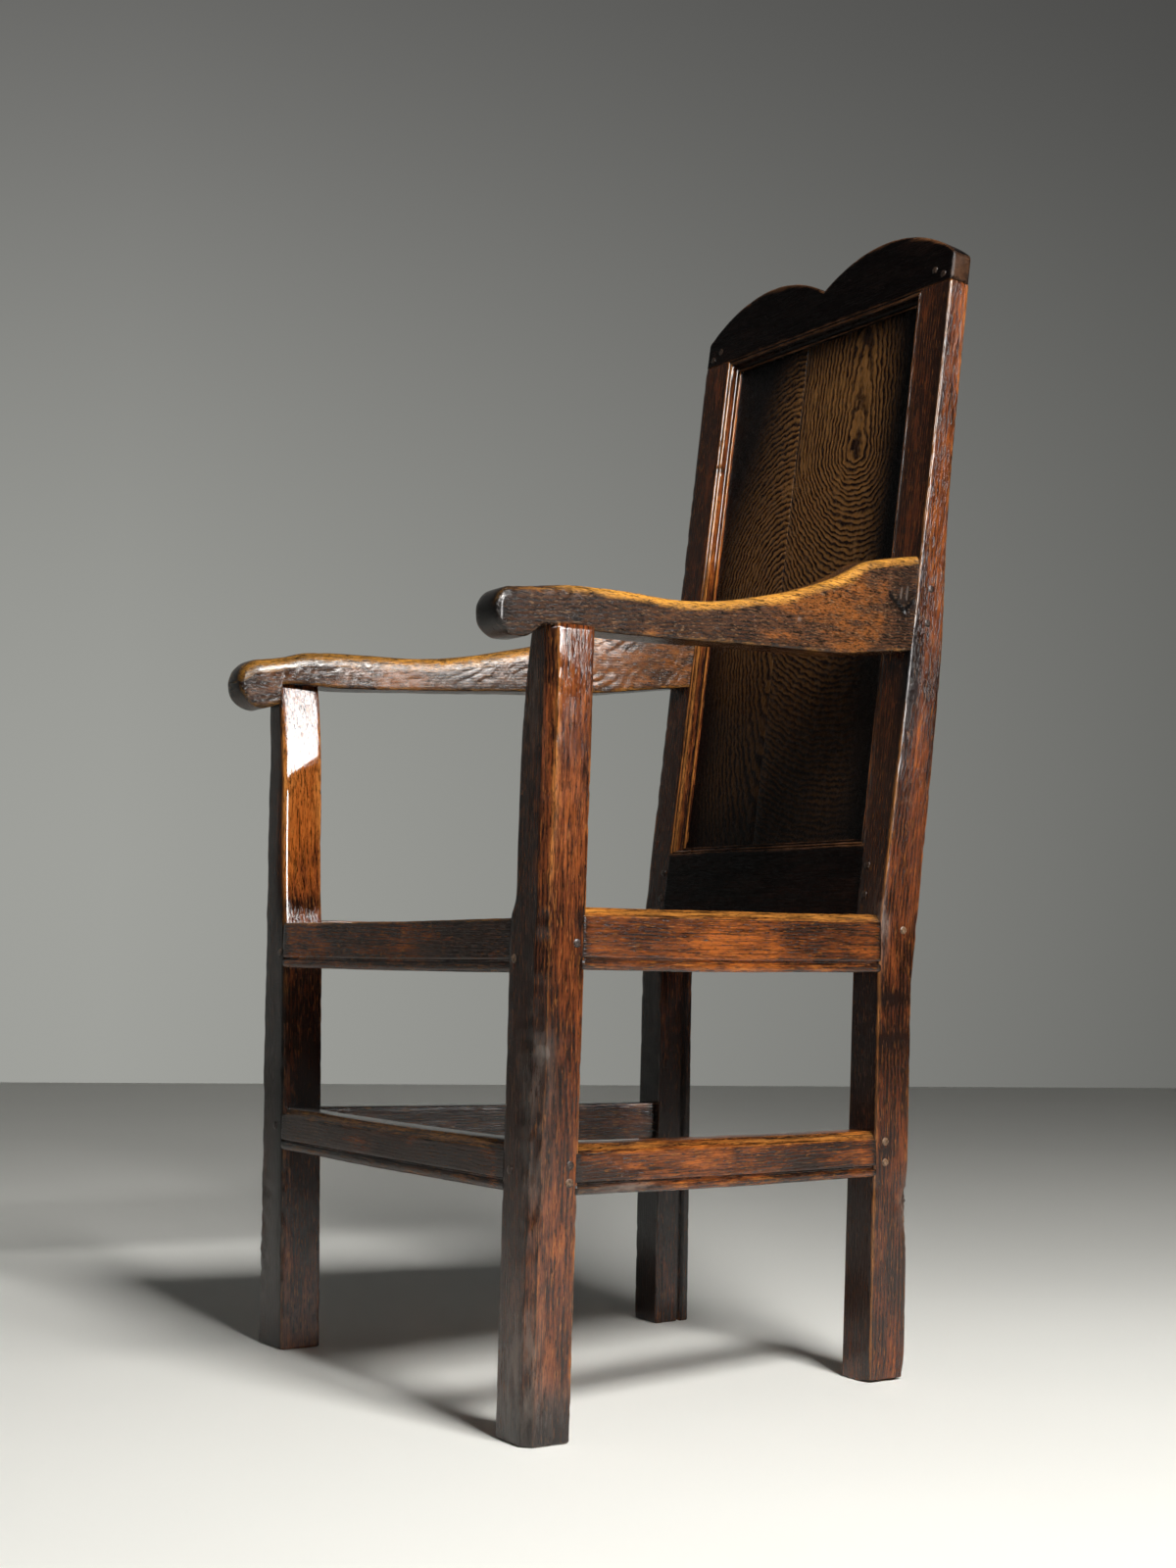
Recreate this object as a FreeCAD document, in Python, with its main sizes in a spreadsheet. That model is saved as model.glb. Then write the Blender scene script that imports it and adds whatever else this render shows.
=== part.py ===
import FreeCAD, Part
import math
import os
import re
import Sketcher

# Panelled oak armchair, drawn in millimetres with +X to the sitter's left hand, +Y to the back and +Z up.
# The origin lies on the floor, midway between the front of the arm scrolls and the back of the crest.

# Driving dimensions, all kept in the sheet
SIZES = {
    # Front legs, each with its arm support above the seat, leaning a little outward
    "front_setback": 244.0,
    "front_outer_foot": 266.5,
    "front_splay": 17.7,
    "right_foot_wide": 47.5,
    "left_foot_wide": 60.5,
    "front_inner_inset": 40.0,
    "front_leg_depth": 44.0,
    "front_leg_chamfer": 8.0,
    "shoulder_rise": 5.0,
    "shoulder_tall": 15.0,
    "support_low_inset": 33.0,
    "support_swell_height": 600.0,
    "support_swell_inset": 26.5,
    "support_top_inset": 14.0,
    "support_tenon_wide": 12.0,
    "support_tenon_deep": 26.0,
    "support_tenon_tall": 22.0,
    # Rear legs, which carry on upward as the raked stiles of the back
    "rear_setback": 180.5,
    "rear_lean": 6.0,
    "side_taper": 67.2,
    "rear_splay": 10.2,
    "rear_foot_wide": 40.3,
    "rear_leg_depth": 44.5,
    "heel_drop": 52.0,
    "heel_depth": 43.0,
    "stile_wide": 44.5,
    "stile_depth_seat": 48.0,
    "stile_depth_arm": 42.0,
    "stile_depth_middle": 30.0,
    "stile_depth_top": 25.5,
    "stile_arm_up": 282.0,
    "stile_middle_up": 440.0,
    "stile_up": 663.0,
    "back_angle": 7.19,
    "stile_tenon_wide": 30.0,
    "stile_tenon_thick": 9.0,
    "stile_tenon_tall": 26.0,
    "foot_groove_setback": 29.0,
    # Back frame: the moulded edge that borders the panel, the crest and the lower rail
    "moulding_wide": 13.0,
    "moulding_deep": 12.0,
    "lower_moulding_tall": 8.0,
    "lower_rail_low": 4.2,
    "lower_rail_up": 83.0,
    "lower_rail_thick": 30.0,
    "crest_end_rise": 30.0,
    "crest_valley_rise": 41.5,
    "crest_arch_radius": 178.0,
    "crest_thick": 25.0,
    # Panel of two boards, held in a plough groove all round
    "panel_thick": 8.0,
    "panel_groove_deep": 8.0,
    "panel_joint_left": 31.5,
    # Seat boards, lying in a rebate of the four rails, and the rails round them
    "seat_height": 428.0,
    "seat_board_thick": 12.0,
    "seat_rebate": 12.0,
    "seat_board_gap": 0.6,
    "seat_rail_thick": 28.0,
    "seat_lip": 7.0,
    "front_rail_rise": 3.0,
    "front_rail_tall": 46.0,
    "front_rail_tilt": 1.8,
    "left_rail_rise": 5.0,
    "right_rail_rise_front": 15.0,
    "right_rail_rise_rear": 18.0,
    "side_rail_tall": 43.0,
    "rear_rail_rise": 5.0,
    "rear_rail_tall": 43.0,
    "rear_rail_inset": 4.0,
    "bead_tall": 8.5,
    "quirk_tall": 2.5,
    "quirk_deep": 2.5,
    # Stretchers
    "stretcher_height": 200.0,
    "front_stretcher_rise": 1.5,
    "front_stretcher_tall": 41.5,
    "front_stretcher_tilt": 2.7,
    "right_stretcher_rise_front": 3.0,
    "right_stretcher_drop_rear": 5.5,
    "right_stretcher_tall_front": 42.0,
    "right_stretcher_tall_rear": 43.5,
    "left_stretcher_tall": 39.0,
    "stretcher_thick": 30.0,
    "stretcher_bevel": 7.0,
    # Tenons of the rails and stretchers
    "tenon_thick": 9.0,
    "tenon_length": 30.0,
    "side_rear_tenon_length": 38.0,
    "rear_tenon_length": 22.0,
    "tenon_shoulder": 6.0,
    "side_tenon_inset": 6.0,
    "cross_tenon_inset": 10.0,
    "back_tenon_inset": 9.0,
    # Arms
    "arm_underside": 677.0,
    "arm_thick": 39.0,
    "arm_tall": 39.0,
    "arm_flare": 9.7,
    "right_scroll_radius": 20.8,
    "right_scroll_ahead": 38.0,
    "right_scroll_rise": 7.3,
    "left_scroll_radius": 26.5,
    "left_scroll_ahead": 18.5,
    "left_scroll_rise": 1.0,
    "arm_tenon_thick": 10.0,
    "arm_tenon_rise": 50.0,
    "arm_tenon_tall": 54.0,
    "arm_tenon_length": 28.0,
    "arm_tenon_inset": 18.0,
    # Pegs
    "peg_wide": 8.0,
    "peg_long": 30.0,
    "peg_stand": 0.6,
    "side_peg_setback": 8.5,
    "rear_peg_setback": 29.5,
    "stretcher_peg_setback": 16.0,
    "cross_peg_setback": 8.0,
    "arm_peg_setback": 18.0,
    "crest_peg_long": 20.0,
    # Fits and the overrun of every cut
    "fit": 0.15,
    "board_fit": 1.0,
    "overrun": 40.0,
}

# Places that follow from the driving dimensions

PLACES = {
    # Front legs
    "front_outer_top": "(front_outer_foot + front_splay)",
    "front_inner_foot_right": "(front_outer_foot - right_foot_wide)",
    "front_inner_foot_left": "(front_outer_foot - left_foot_wide)",
    "front_inner_seat": "(front_outer_foot - front_inner_inset)",
    "support_shoulder_low": "(seat_height + shoulder_rise)",
    "support_shoulder_high": "(support_shoulder_low + shoulder_tall)",
    "support_inner_low": "(front_outer_foot - support_low_inset)",
    "support_swell_inner": "(front_outer_foot - support_swell_inset)",
    "support_inner_top": "(front_outer_foot - support_top_inset)",
    # Rear legs and stiles
    "rear_setback_seat": "(rear_setback + rear_lean)",
    "rear_outer_foot": "(front_outer_foot - side_taper)",
    "rear_outer_top": "(rear_outer_foot + rear_splay)",
    "rear_inner_foot": "(rear_outer_foot - rear_foot_wide)",
    "moulding_line": "(rear_outer_top - stile_wide)",
    "kink_height": "(seat_height + rear_rail_rise)",
    "heel_height": "(kink_height - heel_drop)",
    "crest_end_up": "(stile_up + crest_end_rise)",
    "crest_valley_up": "(stile_up + crest_valley_rise)",
    # Seat
    "seat_ledge_height": "(seat_height - seat_board_thick)",
    "front_rail_high": "(seat_height + front_rail_rise)",
    "front_rail_low": "(front_rail_high - front_rail_tall)",
    "left_rail_high": "(seat_height + left_rail_rise)",
    "right_rail_high_front": "(seat_height + right_rail_rise_front)",
    "right_rail_high_rear": "(seat_height + right_rail_rise_rear)",
    "side_rail_low": "(left_rail_high - side_rail_tall)",
    "rear_rail_high": "(seat_height + rear_rail_rise)",
    "rear_rail_low": "(rear_rail_high - rear_rail_tall)",
    # Stretchers
    "front_stretcher_low": "(stretcher_height + front_stretcher_rise)",
    "front_stretcher_high": "(front_stretcher_low + front_stretcher_tall)",
    "right_stretcher_low_front": "(stretcher_height + right_stretcher_rise_front)",
    "right_stretcher_low_rear": "(stretcher_height - right_stretcher_drop_rear)",
    "right_stretcher_high_front": "(right_stretcher_low_front + right_stretcher_tall_front)",
    "right_stretcher_high_rear": "(right_stretcher_low_rear + right_stretcher_tall_rear)",
    "left_stretcher_low": "stretcher_height",
    "left_stretcher_high": "(left_stretcher_low + left_stretcher_tall)",
    # Arms
    "arm_outer_tip": "(front_outer_top + arm_flare)",
    "right_scroll_height": "(arm_underside + right_scroll_rise)",
    "left_scroll_height": "(arm_underside + left_scroll_rise)",
    "arm_tenon_low": "(arm_underside + arm_tenon_rise)",
    "arm_tenon_high": "(arm_tenon_low + arm_tenon_tall)",
}

doc = FreeCAD.newDocument("panelled_armchair")
sheet = doc.addObject("Spreadsheet::Sheet", "Sizes")
for row, (alias, size) in enumerate(SIZES.items(), start=1):
    sheet.set(f"A{row}", alias)
    sheet.set(f"B{row}", str(size))
    sheet.setAlias(f"B{row}", alias)
doc.recompute()

SUBPARTS = []


# Expressions

def bound(text):
    """The expression with every place written out and every size name pointing into the sheet."""
    return re.sub(r"[a-z_]+", lambda word: written(word[0]), text)


def written(name):
    if name in PLACES:
        return bound(PLACES[name])
    return f"Sizes.{name}" if name in SIZES else name


def number(text):
    """The present value of an expression."""
    result = sheet.evalExpression(bound(text))
    return float(getattr(result, "Value", result))


def negative(text):
    return f"(0 - ({text}))"


def mirrored(side, text):
    """A distance out from the middle, on the given side: 1 is right in the photograph, -1 is left."""
    return f"({text})" if side > 0 else negative(text)


# Sketches and the pads and pockets made from them

NORMAL_SIGN = {"XY": 1, "XZ": -1, "YZ": 1}
PEG_HOLE_RADIUS = "(peg_wide / 2 + fit)"


def new_body(label, raked=False):
    """A body for one wooden piece; a raked one is drawn in the leaning frame of the back."""
    body = doc.addObject("PartDesign::Body", label)
    body.Label = label
    if raked:
        axis = FreeCAD.Vector(1, 0, 0)
        turn = FreeCAD.Rotation(axis, -number("back_angle"))
        body.Placement = FreeCAD.Placement(FreeCAD.Vector(0, 0, 0), turn)
        body.setExpression("Placement.Rotation.Angle", bound("0 - back_angle"))
        body.setExpression("Placement.Base.y", bound("rear_setback_seat"))
        body.setExpression("Placement.Base.z", bound("kink_height"))
    SUBPARTS.append(body)
    return body


def new_sketch(body, name, plane, start, raked):
    """An empty sketch on an origin plane of the body, moved along that plane's axis to start."""
    sketch = body.newObject("Sketcher::SketchObject", name)
    support = next(item for item in body.Origin.OriginFeatures if item.Role == f"{plane}_Plane")
    sketch.AttachmentSupport = [(support, "")]
    sketch.MapMode = "FlatFace"
    if raked:
        turn = FreeCAD.Rotation(FreeCAD.Vector(1, 0, 0), -number("back_angle"))
        sketch.AttachmentOffset = FreeCAD.Placement(FreeCAD.Vector(0, 0, 0), turn)
        sketch.setExpression("AttachmentOffset.Rotation.Angle", bound("0 - back_angle"))
        if plane == "XY":
            back, height = raked_place(start, "0")
            sketch.setExpression("AttachmentOffset.Base.y", bound(back))
            sketch.setExpression("AttachmentOffset.Base.z", bound(height))
        else:
            back, height = raked_place("0", start)
            sketch.setExpression("AttachmentOffset.Base.y", bound(height))
            sketch.setExpression("AttachmentOffset.Base.z", bound(negative(back)))
    elif NORMAL_SIGN[plane] > 0:
        sketch.setExpression("AttachmentOffset.Base.z", bound(start))
    else:
        sketch.setExpression("AttachmentOffset.Base.z", bound(negative(start)))
    return sketch


def hold_point(sketch, item, position, place):
    """Holds a point of the sketch at two distances from the sketch's origin, both bound to the sheet."""
    for kind, text in zip(("DistanceX", "DistanceY"), place):
        held = sketch.addConstraint(Sketcher.Constraint(kind, -1, 1, item, position, number(text)))
        sketch.setExpression(f"Constraints[{held}]", bound(text))


def arc_between(first, last, radius):
    """The lesser arc from first to last; a positive radius bulges to the right of the way travelled."""
    chord = last.sub(first)
    half = chord.Length / 2
    aside = FreeCAD.Vector(chord.y, -chord.x, 0).normalize()
    if radius < 0:
        aside = aside.negative()
    rise = abs(radius) - math.sqrt(radius ** 2 - half ** 2)
    crown = first.add(chord.multiply(1 / 2)).add(aside.multiply(rise))
    return Part.Arc(first, crown, last)


def draw_outline(sketch, corners):
    """A closed outline. A corner is (across, up), or (across, up, radius) where the next edge is an arc."""
    points = [FreeCAD.Vector(number(corner[0]), number(corner[1]), 0) for corner in corners]
    ends = []
    for index, corner in enumerate(corners):
        first = points[index]
        last = points[(index + 1) % len(points)]
        if len(corner) == 2:
            sketch.addGeometry(Part.LineSegment(first, last), False)
            ends.append((1, 2))
            continue
        arc = arc_between(FreeCAD.Vector(first), FreeCAD.Vector(last), number(corner[2]))
        item = sketch.addGeometry(arc, False)
        gaps = [sketch.getPoint(item, end).distanceToPoint(first) for end in (1, 2)]
        ends.append((1, 2) if gaps[0] < gaps[1] else (2, 1))
        held = sketch.addConstraint(Sketcher.Constraint("Radius", item, abs(number(corner[2]))))
        sketch.setExpression(f"Constraints[{held}]", bound(f"abs({corner[2]})"))
    for index, corner in enumerate(corners):
        following = (index + 1) % len(corners)
        joined = (index, ends[index][1], following, ends[following][0])
        sketch.addConstraint(Sketcher.Constraint("Coincident", *joined))
        hold_point(sketch, index, ends[index][0], corner)


def extrude(kind, body, name, plane, span, corners, raked):
    """A pad or pocket of an outline between two places along the axis square to the plane."""
    start, end = span
    sketch = new_sketch(body, f"{name}_outline", plane, start, raked)
    draw_outline(sketch, corners)
    feature = body.newObject(f"PartDesign::{kind}", name)
    feature.Profile = (sketch, [""])
    feature.setExpression("Length", bound(f"({end}) - ({start})"))
    along_normal = NORMAL_SIGN[plane] > 0
    feature.Reversed = (not along_normal) if kind == "Pad" else along_normal
    doc.recompute()
    return feature


def pad(body, name, plane, span, corners, raked=False):
    return extrude("Pad", body, name, plane, span, corners, raked)


def pocket(body, name, plane, span, corners, raked=False):
    """A pocket, with its volume compared so that one that cuts nothing is found."""
    before = body.Shape.Volume
    feature = extrude("Pocket", body, name, plane, span, corners, raked)
    if not feature.Shape.Volume < before:
        raise ValueError(f"{body.Label}: {name} cut nothing")
    return feature


def bore(body, name, plane, span, centres, raked=False):
    """Round peg holes at the given places of one plane."""
    start, end = span
    sketch = new_sketch(body, f"{name}_outline", plane, start, raked)
    for item, centre in enumerate(centres):
        middle = FreeCAD.Vector(number(centre[0]), number(centre[1]), 0)
        circle = Part.Circle(middle, FreeCAD.Vector(0, 0, 1), number(PEG_HOLE_RADIUS))
        sketch.addGeometry(circle, False)
        hold_point(sketch, item, 3, centre)
        held = sketch.addConstraint(Sketcher.Constraint("Radius", item, number(PEG_HOLE_RADIUS)))
        sketch.setExpression(f"Constraints[{held}]", bound(PEG_HOLE_RADIUS))
    before = body.Shape.Volume
    feature = body.newObject("PartDesign::Pocket", name)
    feature.Profile = (sketch, [""])
    feature.setExpression("Length", bound(f"({end}) - ({start})"))
    feature.Reversed = NORMAL_SIGN[plane] > 0
    doc.recompute()
    if not feature.Shape.Volume < before:
        raise ValueError(f"{body.Label}: {name} cut nothing")


def bevel(body, name, middle, size):
    """A chamfer along the edge whose middle lies nearest to the given place."""
    place = FreeCAD.Vector(*[number(text) for text in middle])
    base = body.Tip
    gaps = [edge.CenterOfMass.distanceToPoint(place) for edge in base.Shape.Edges]
    nearest = gaps.index(min(gaps)) + 1
    feature = body.newObject("PartDesign::Chamfer", name)
    feature.Base = (base, [f"Edge{nearest}"])
    feature.setExpression("Size", bound(size))
    doc.recompute()


def box(across, up):
    """The four corners of a rectangle from two spans."""
    return [(across[0], up[0]), (across[1], up[0]), (across[1], up[1]), (across[0], up[1])]


def sided(side, places):
    """The places on one side of the chair, from distances out from the middle."""
    return [(mirrored(side, across), up) for across, up in places]


def both_sides(places):
    """The same places on the right and on the left."""
    return sided(1, places) + sided(-1, places)


def spans(side, inner, outer):
    """A span of distances out from the middle, in rising order on either side."""
    if side > 0:
        return (inner, outer)
    return (negative(outer), negative(inner))


# Faces that pieces share, as expressions

FRONT_FACE = "(0 - front_setback)"
FRONT_LEG_BACK = "(front_leg_depth - front_setback)"
RAKE = "tan(back_angle * 1 deg)"
LEAN = "cos(back_angle * 1 deg)"
STILE_TOP = f"(kink_height + stile_up * {LEAN})"


def front_outer(height):
    """Outer face of a front leg, as a distance from the middle."""
    return f"(front_outer_foot + (front_outer_top - front_outer_foot) * ({height}) / arm_underside)"


def front_inner(side, height):
    """Inner face of a front leg below the seat."""
    foot = "front_inner_foot_right" if side > 0 else "front_inner_foot_left"
    return f"({foot} + (front_inner_seat - {foot}) * ({height}) / support_shoulder_low)"


def rear_outer(height):
    """Outer face of a rear leg and stile."""
    return f"(rear_outer_foot + (rear_outer_top - rear_outer_foot) * ({height}) / {STILE_TOP})"


def rear_inner(height):
    """Inner face of a rear leg below the panel."""
    return f"(rear_inner_foot + (moulding_line - rear_inner_foot) * ({height}) / kink_height)"


def rear_front(height):
    """Front face of a rear leg below the kink."""
    return f"(rear_setback + (rear_setback_seat - rear_setback) * ({height}) / kink_height)"


def back_front(height):
    """Front face of the raked stiles, above the kink."""
    return f"(rear_setback_seat + (({height}) - kink_height) * {RAKE})"


def raked_place(up, deep):
    """A place on the side view of the back, from its distances up the rake and in from the front face."""
    across = f"(rear_setback_seat + ({up}) * sin(back_angle * 1 deg) + ({deep}) * {LEAN})"
    height = f"(kink_height + ({up}) * {LEAN} - ({deep}) * sin(back_angle * 1 deg))"
    return (across, height)


def heel_face(height):
    """Back face of a rear leg between its heel and the kink."""
    low = f"({rear_front('heel_height')} + heel_depth)"
    back, top = raked_place("0", "stile_depth_seat")
    return f"({low} + ({back} - {low}) * ({height} - heel_height) / ({top} - heel_height))"


def side_line(distance, height, inward="0"):
    """Outer face of a side rail or stretcher at a distance back, moved inward for its inner face."""
    front = front_outer(height)
    rear = rear_outer(height)
    share = f"((({distance}) - {FRONT_LEG_BACK}) / ({rear_front(height)} - {FRONT_LEG_BACK}))"
    return f"({front} + ({rear} - {front}) * {share} - ({inward}))"


# Places of the pegs, each list as (distance back, height) or (distance from the middle, height)

FRONT_SIDE_PEG = f"({FRONT_LEG_BACK} - side_peg_setback)"
REAR_SIDE_PEG = "(rear_setback + stretcher_peg_setback)"
SIDE_SEAT_PEG_FRONT = [(FRONT_SIDE_PEG, "(side_rail_low + 2.8 * peg_wide)")]
SIDE_STRETCHER_PEGS_FRONT = [
    (FRONT_SIDE_PEG, "(right_stretcher_low_front + tenon_shoulder + 0.6 * peg_wide)"),
    (FRONT_SIDE_PEG, "(right_stretcher_low_front + tenon_shoulder + 2.4 * peg_wide)"),
]
SIDE_STRETCHER_PEGS_REAR = [
    (REAR_SIDE_PEG, "(right_stretcher_low_rear + 2.1 * peg_wide)"),
    (REAR_SIDE_PEG, "(right_stretcher_low_rear + 3.6 * peg_wide)"),
]
FRONT_RAIL_PEG_HEIGHT = "(front_rail_low + 1.7 * peg_wide)"
FRONT_STRETCHER_PEG_HEIGHT = "(front_stretcher_low + 2.6 * peg_wide)"
REAR_RAIL_PEG = (
    "(rear_inner_foot + 1.7 * peg_wide)",
    "((rear_rail_low + rear_rail_high) / 2 - peg_wide)",
)
CREST_PEGS = [
    ("(rear_outer_top - 1.6 * peg_wide)", "(stile_up + 1.0 * peg_wide)"),
    ("(rear_outer_top - 3.3 * peg_wide)", "(stile_up + 1.9 * peg_wide)"),
]
LOWER_RAIL_PEGS = [
    ("(moulding_line + 1.2 * peg_wide)", "(lower_rail_up - 2.6 * peg_wide)"),
    ("(moulding_line + 1.2 * peg_wide)", "(lower_rail_low + 3.6 * peg_wide)"),
]
ARM_PEG_HEIGHTS = ["(arm_tenon_low + 1.1 * peg_wide)", "(arm_tenon_high - 1.3 * peg_wide)"]

# How far the holes of the pegs driven in from the front and from behind are bored

FRONT_PEG_SPAN = (f"({FRONT_FACE} - overrun)", f"({FRONT_FACE} + peg_long)")
REAR_PEG_SPAN = (
    f"({heel_face(REAR_RAIL_PEG[1])} - peg_long)",
    "(rear_setback_seat + rear_leg_depth + overrun)",
)
RAKED_PEG_SPAN = ("(0 - overrun)", "peg_long")
CREST_PEG_SPAN = ("(0 - overrun)", "crest_peg_long")


def side_seat_peg_rear(side):
    """Place of the peg that holds the rear tenon of a side rail."""
    high = "right_rail_high_rear" if side > 0 else "left_rail_high"
    return [("(rear_setback_seat + rear_peg_setback)", f"({high} - tenon_shoulder - 1.1 * peg_wide)")]


def arm_pegs():
    """Places of the two pegs that hold an arm in its stile."""
    return [(f"({back_front(height)} + arm_peg_setback)", height) for height in ARM_PEG_HEIGHTS]


# Front legs

def front_leg(side, label):
    body = new_body(label)
    outline = [
        (front_inner(side, "0"), "0"),
        ("front_outer_foot", "0"),
        ("front_outer_top", "arm_underside"),
        ("support_inner_top", "arm_underside"),
        ("support_swell_inner", "support_swell_height"),
        ("support_inner_low", "support_shoulder_high"),
        ("front_inner_seat", "support_shoulder_low"),
    ]
    pad(body, "leg", "XZ", (FRONT_FACE, FRONT_LEG_BACK), sided(side, outline))
    across = mirrored(side, "(front_outer_foot + front_outer_top) / 2")
    bevel(body, "worn_corner", (across, FRONT_FACE, "arm_underside / 2"), "front_leg_chamfer")
    tenon = support_tenon(side, "0")
    middle = f"({FRONT_FACE} + front_leg_depth / 2)"
    depth = (f"({middle} - support_tenon_deep / 2)", f"({middle} + support_tenon_deep / 2)")
    pad(body, "top_tenon", "XY", ("arm_underside", "arm_underside + support_tenon_tall"), box(tenon, depth))
    front_leg_mortises(body, side)
    return body


def support_tenon(side, clear):
    """The span across the tenon on top of an arm support, widened by a clearance for its mortise."""
    inner = f"(support_inner_top + support_tenon_wide / 2 - {clear})"
    outer = f"(support_inner_top + 3 * support_tenon_wide / 2 + {clear})"
    return spans(side, inner, outer)


def front_leg_mortises(body, side):
    """Mortises for the side pieces from behind and the cross pieces from inside, then the peg holes."""
    reach = (f"({FRONT_LEG_BACK} - tenon_length - fit)", f"({FRONT_LEG_BACK} + overrun)")
    for name, low, high in side_members(side, "front"):
        middle = f"(({low}) + ({high})) / 2"
        outer = f"({side_line(FRONT_LEG_BACK, middle)} - side_tenon_inset + fit)"
        inner = f"({side_line(FRONT_LEG_BACK, middle)} - side_tenon_inset - tenon_thick - fit)"
        up = (f"({low} + tenon_shoulder - fit)", f"({high} - tenon_shoulder + fit)")
        pocket(body, f"{name}_mortise", "XY", up, box(spans(side, inner, outer), reach))
    face = f"({FRONT_FACE} + cross_tenon_inset)"
    deep = (f"({face} - fit)", f"({face} + tenon_thick + fit)")
    for name, low, high, tilt in front_members():
        inner = f"({front_inner(side, low)} - overrun)"
        outer = f"({front_inner(side, low)} + tenon_length + fit)"
        up = (f"({low} + {tilt} + tenon_shoulder - fit)", f"({high} - {tilt} - tenon_shoulder + fit)")
        pocket(body, f"{name}_mortise", "XZ", deep, box(spans(side, inner, outer), up))
    across = spans(side, f"({front_outer('0')} - peg_long - fit)", "(front_outer_top + overrun)")
    bore(body, "side_seat_peg_hole", "YZ", across, SIDE_SEAT_PEG_FRONT)
    bore(body, "side_stretcher_peg_holes", "YZ", across, SIDE_STRETCHER_PEGS_FRONT)
    bore(body, "cross_peg_holes", "XZ", FRONT_PEG_SPAN, front_pegs(side))


def front_pegs(side):
    """Places of the pegs in the front face of a front leg."""
    places = []
    for height in (FRONT_RAIL_PEG_HEIGHT, FRONT_STRETCHER_PEG_HEIGHT):
        places.append((mirrored(side, "(front_inner_seat + cross_peg_setback)"), height))
    return places


def side_members(side, end):
    """Name, bottom and top of the seat rail and stretcher that a leg takes at one end of a side."""
    if side > 0:
        return [
            ("side_rail", "side_rail_low", f"right_rail_high_{end}"),
            ("side_stretcher", f"right_stretcher_low_{end}", f"right_stretcher_high_{end}"),
        ]
    return [
        ("side_rail", "side_rail_low", "left_rail_high"),
        ("side_stretcher", "left_stretcher_low", "left_stretcher_high"),
    ]


def front_members():
    """Name, bottom, top and tilt of the pieces between the front legs."""
    return [
        ("front_rail", "front_rail_low", "front_rail_high", "front_rail_tilt"),
        ("front_stretcher", "front_stretcher_low", "front_stretcher_high", "front_stretcher_tilt"),
    ]


# Rear legs with their stiles

def rear_stile(side, label):
    body = new_body(label)
    narrow = "(moulding_line - moulding_wide)"
    outline = [
        ("rear_inner_foot", "0"),
        ("rear_outer_foot", "0"),
        ("rear_outer_top", STILE_TOP),
        (narrow, STILE_TOP),
        (narrow, "kink_height"),
        ("moulding_line", "kink_height"),
    ]
    deepest = "(rear_setback_seat + stile_up * sin(back_angle * 1 deg) + stile_depth_seat)"
    pad(body, "blank", "XZ", ("rear_setback - overrun", deepest), sided(side, outline))
    shape_stile_sides(body, side, deepest)
    groove = spans(side, f"({narrow} - overrun)", f"({narrow} + panel_groove_deep)")
    deep = ("moulding_deep", "(moulding_deep + panel_thick + 2 * fit)")
    up = ("lower_rail_up", "stile_up + overrun")
    pocket(body, "panel_groove", "XY", up, box(groove, deep), raked=True)
    moulding = [
        ("moulding_line", "0"),
        (f"({narrow} - moulding_wide)", "(2 * moulding_deep)"),
        (f"({narrow} - moulding_wide)", "(0 - moulding_deep)"),
        ("moulding_line", "(0 - moulding_deep)"),
    ]
    pocket(body, "moulded_edge", "XY", ("lower_rail_up", "stile_up"), sided(side, moulding), raked=True)
    foot_groove = spans(side, "(rear_inner_foot - overrun)", "(rear_inner_foot + panel_groove_deep)")
    first = "(rear_setback + foot_groove_setback)"
    foot_deep = (first, f"({first} + panel_thick)")
    pocket(body, "foot_groove", "XY", ("0", "rear_rail_low"), box(foot_groove, foot_deep))
    across, deep = crest_tenon(side, "0")
    top = ("stile_up - stile_tenon_tall", "stile_up + stile_tenon_tall")
    pad(body, "crest_tenon", "XY", top, box(across, deep), raked=True)
    rear_stile_mortises(body, side)
    return body


def crest_tenon(side, clear):
    """The spans across and through the tenon on top of a stile, widened by a clearance for its mortise."""
    inner = f"(rear_outer_top - side_tenon_inset - stile_tenon_wide - {clear})"
    outer = f"(rear_outer_top - side_tenon_inset + {clear})"
    first = "((stile_depth_top - stile_tenon_thick) / 2)"
    return spans(side, inner, outer), (f"({first} - {clear})", f"({first} + stile_tenon_thick + {clear})")


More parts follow.
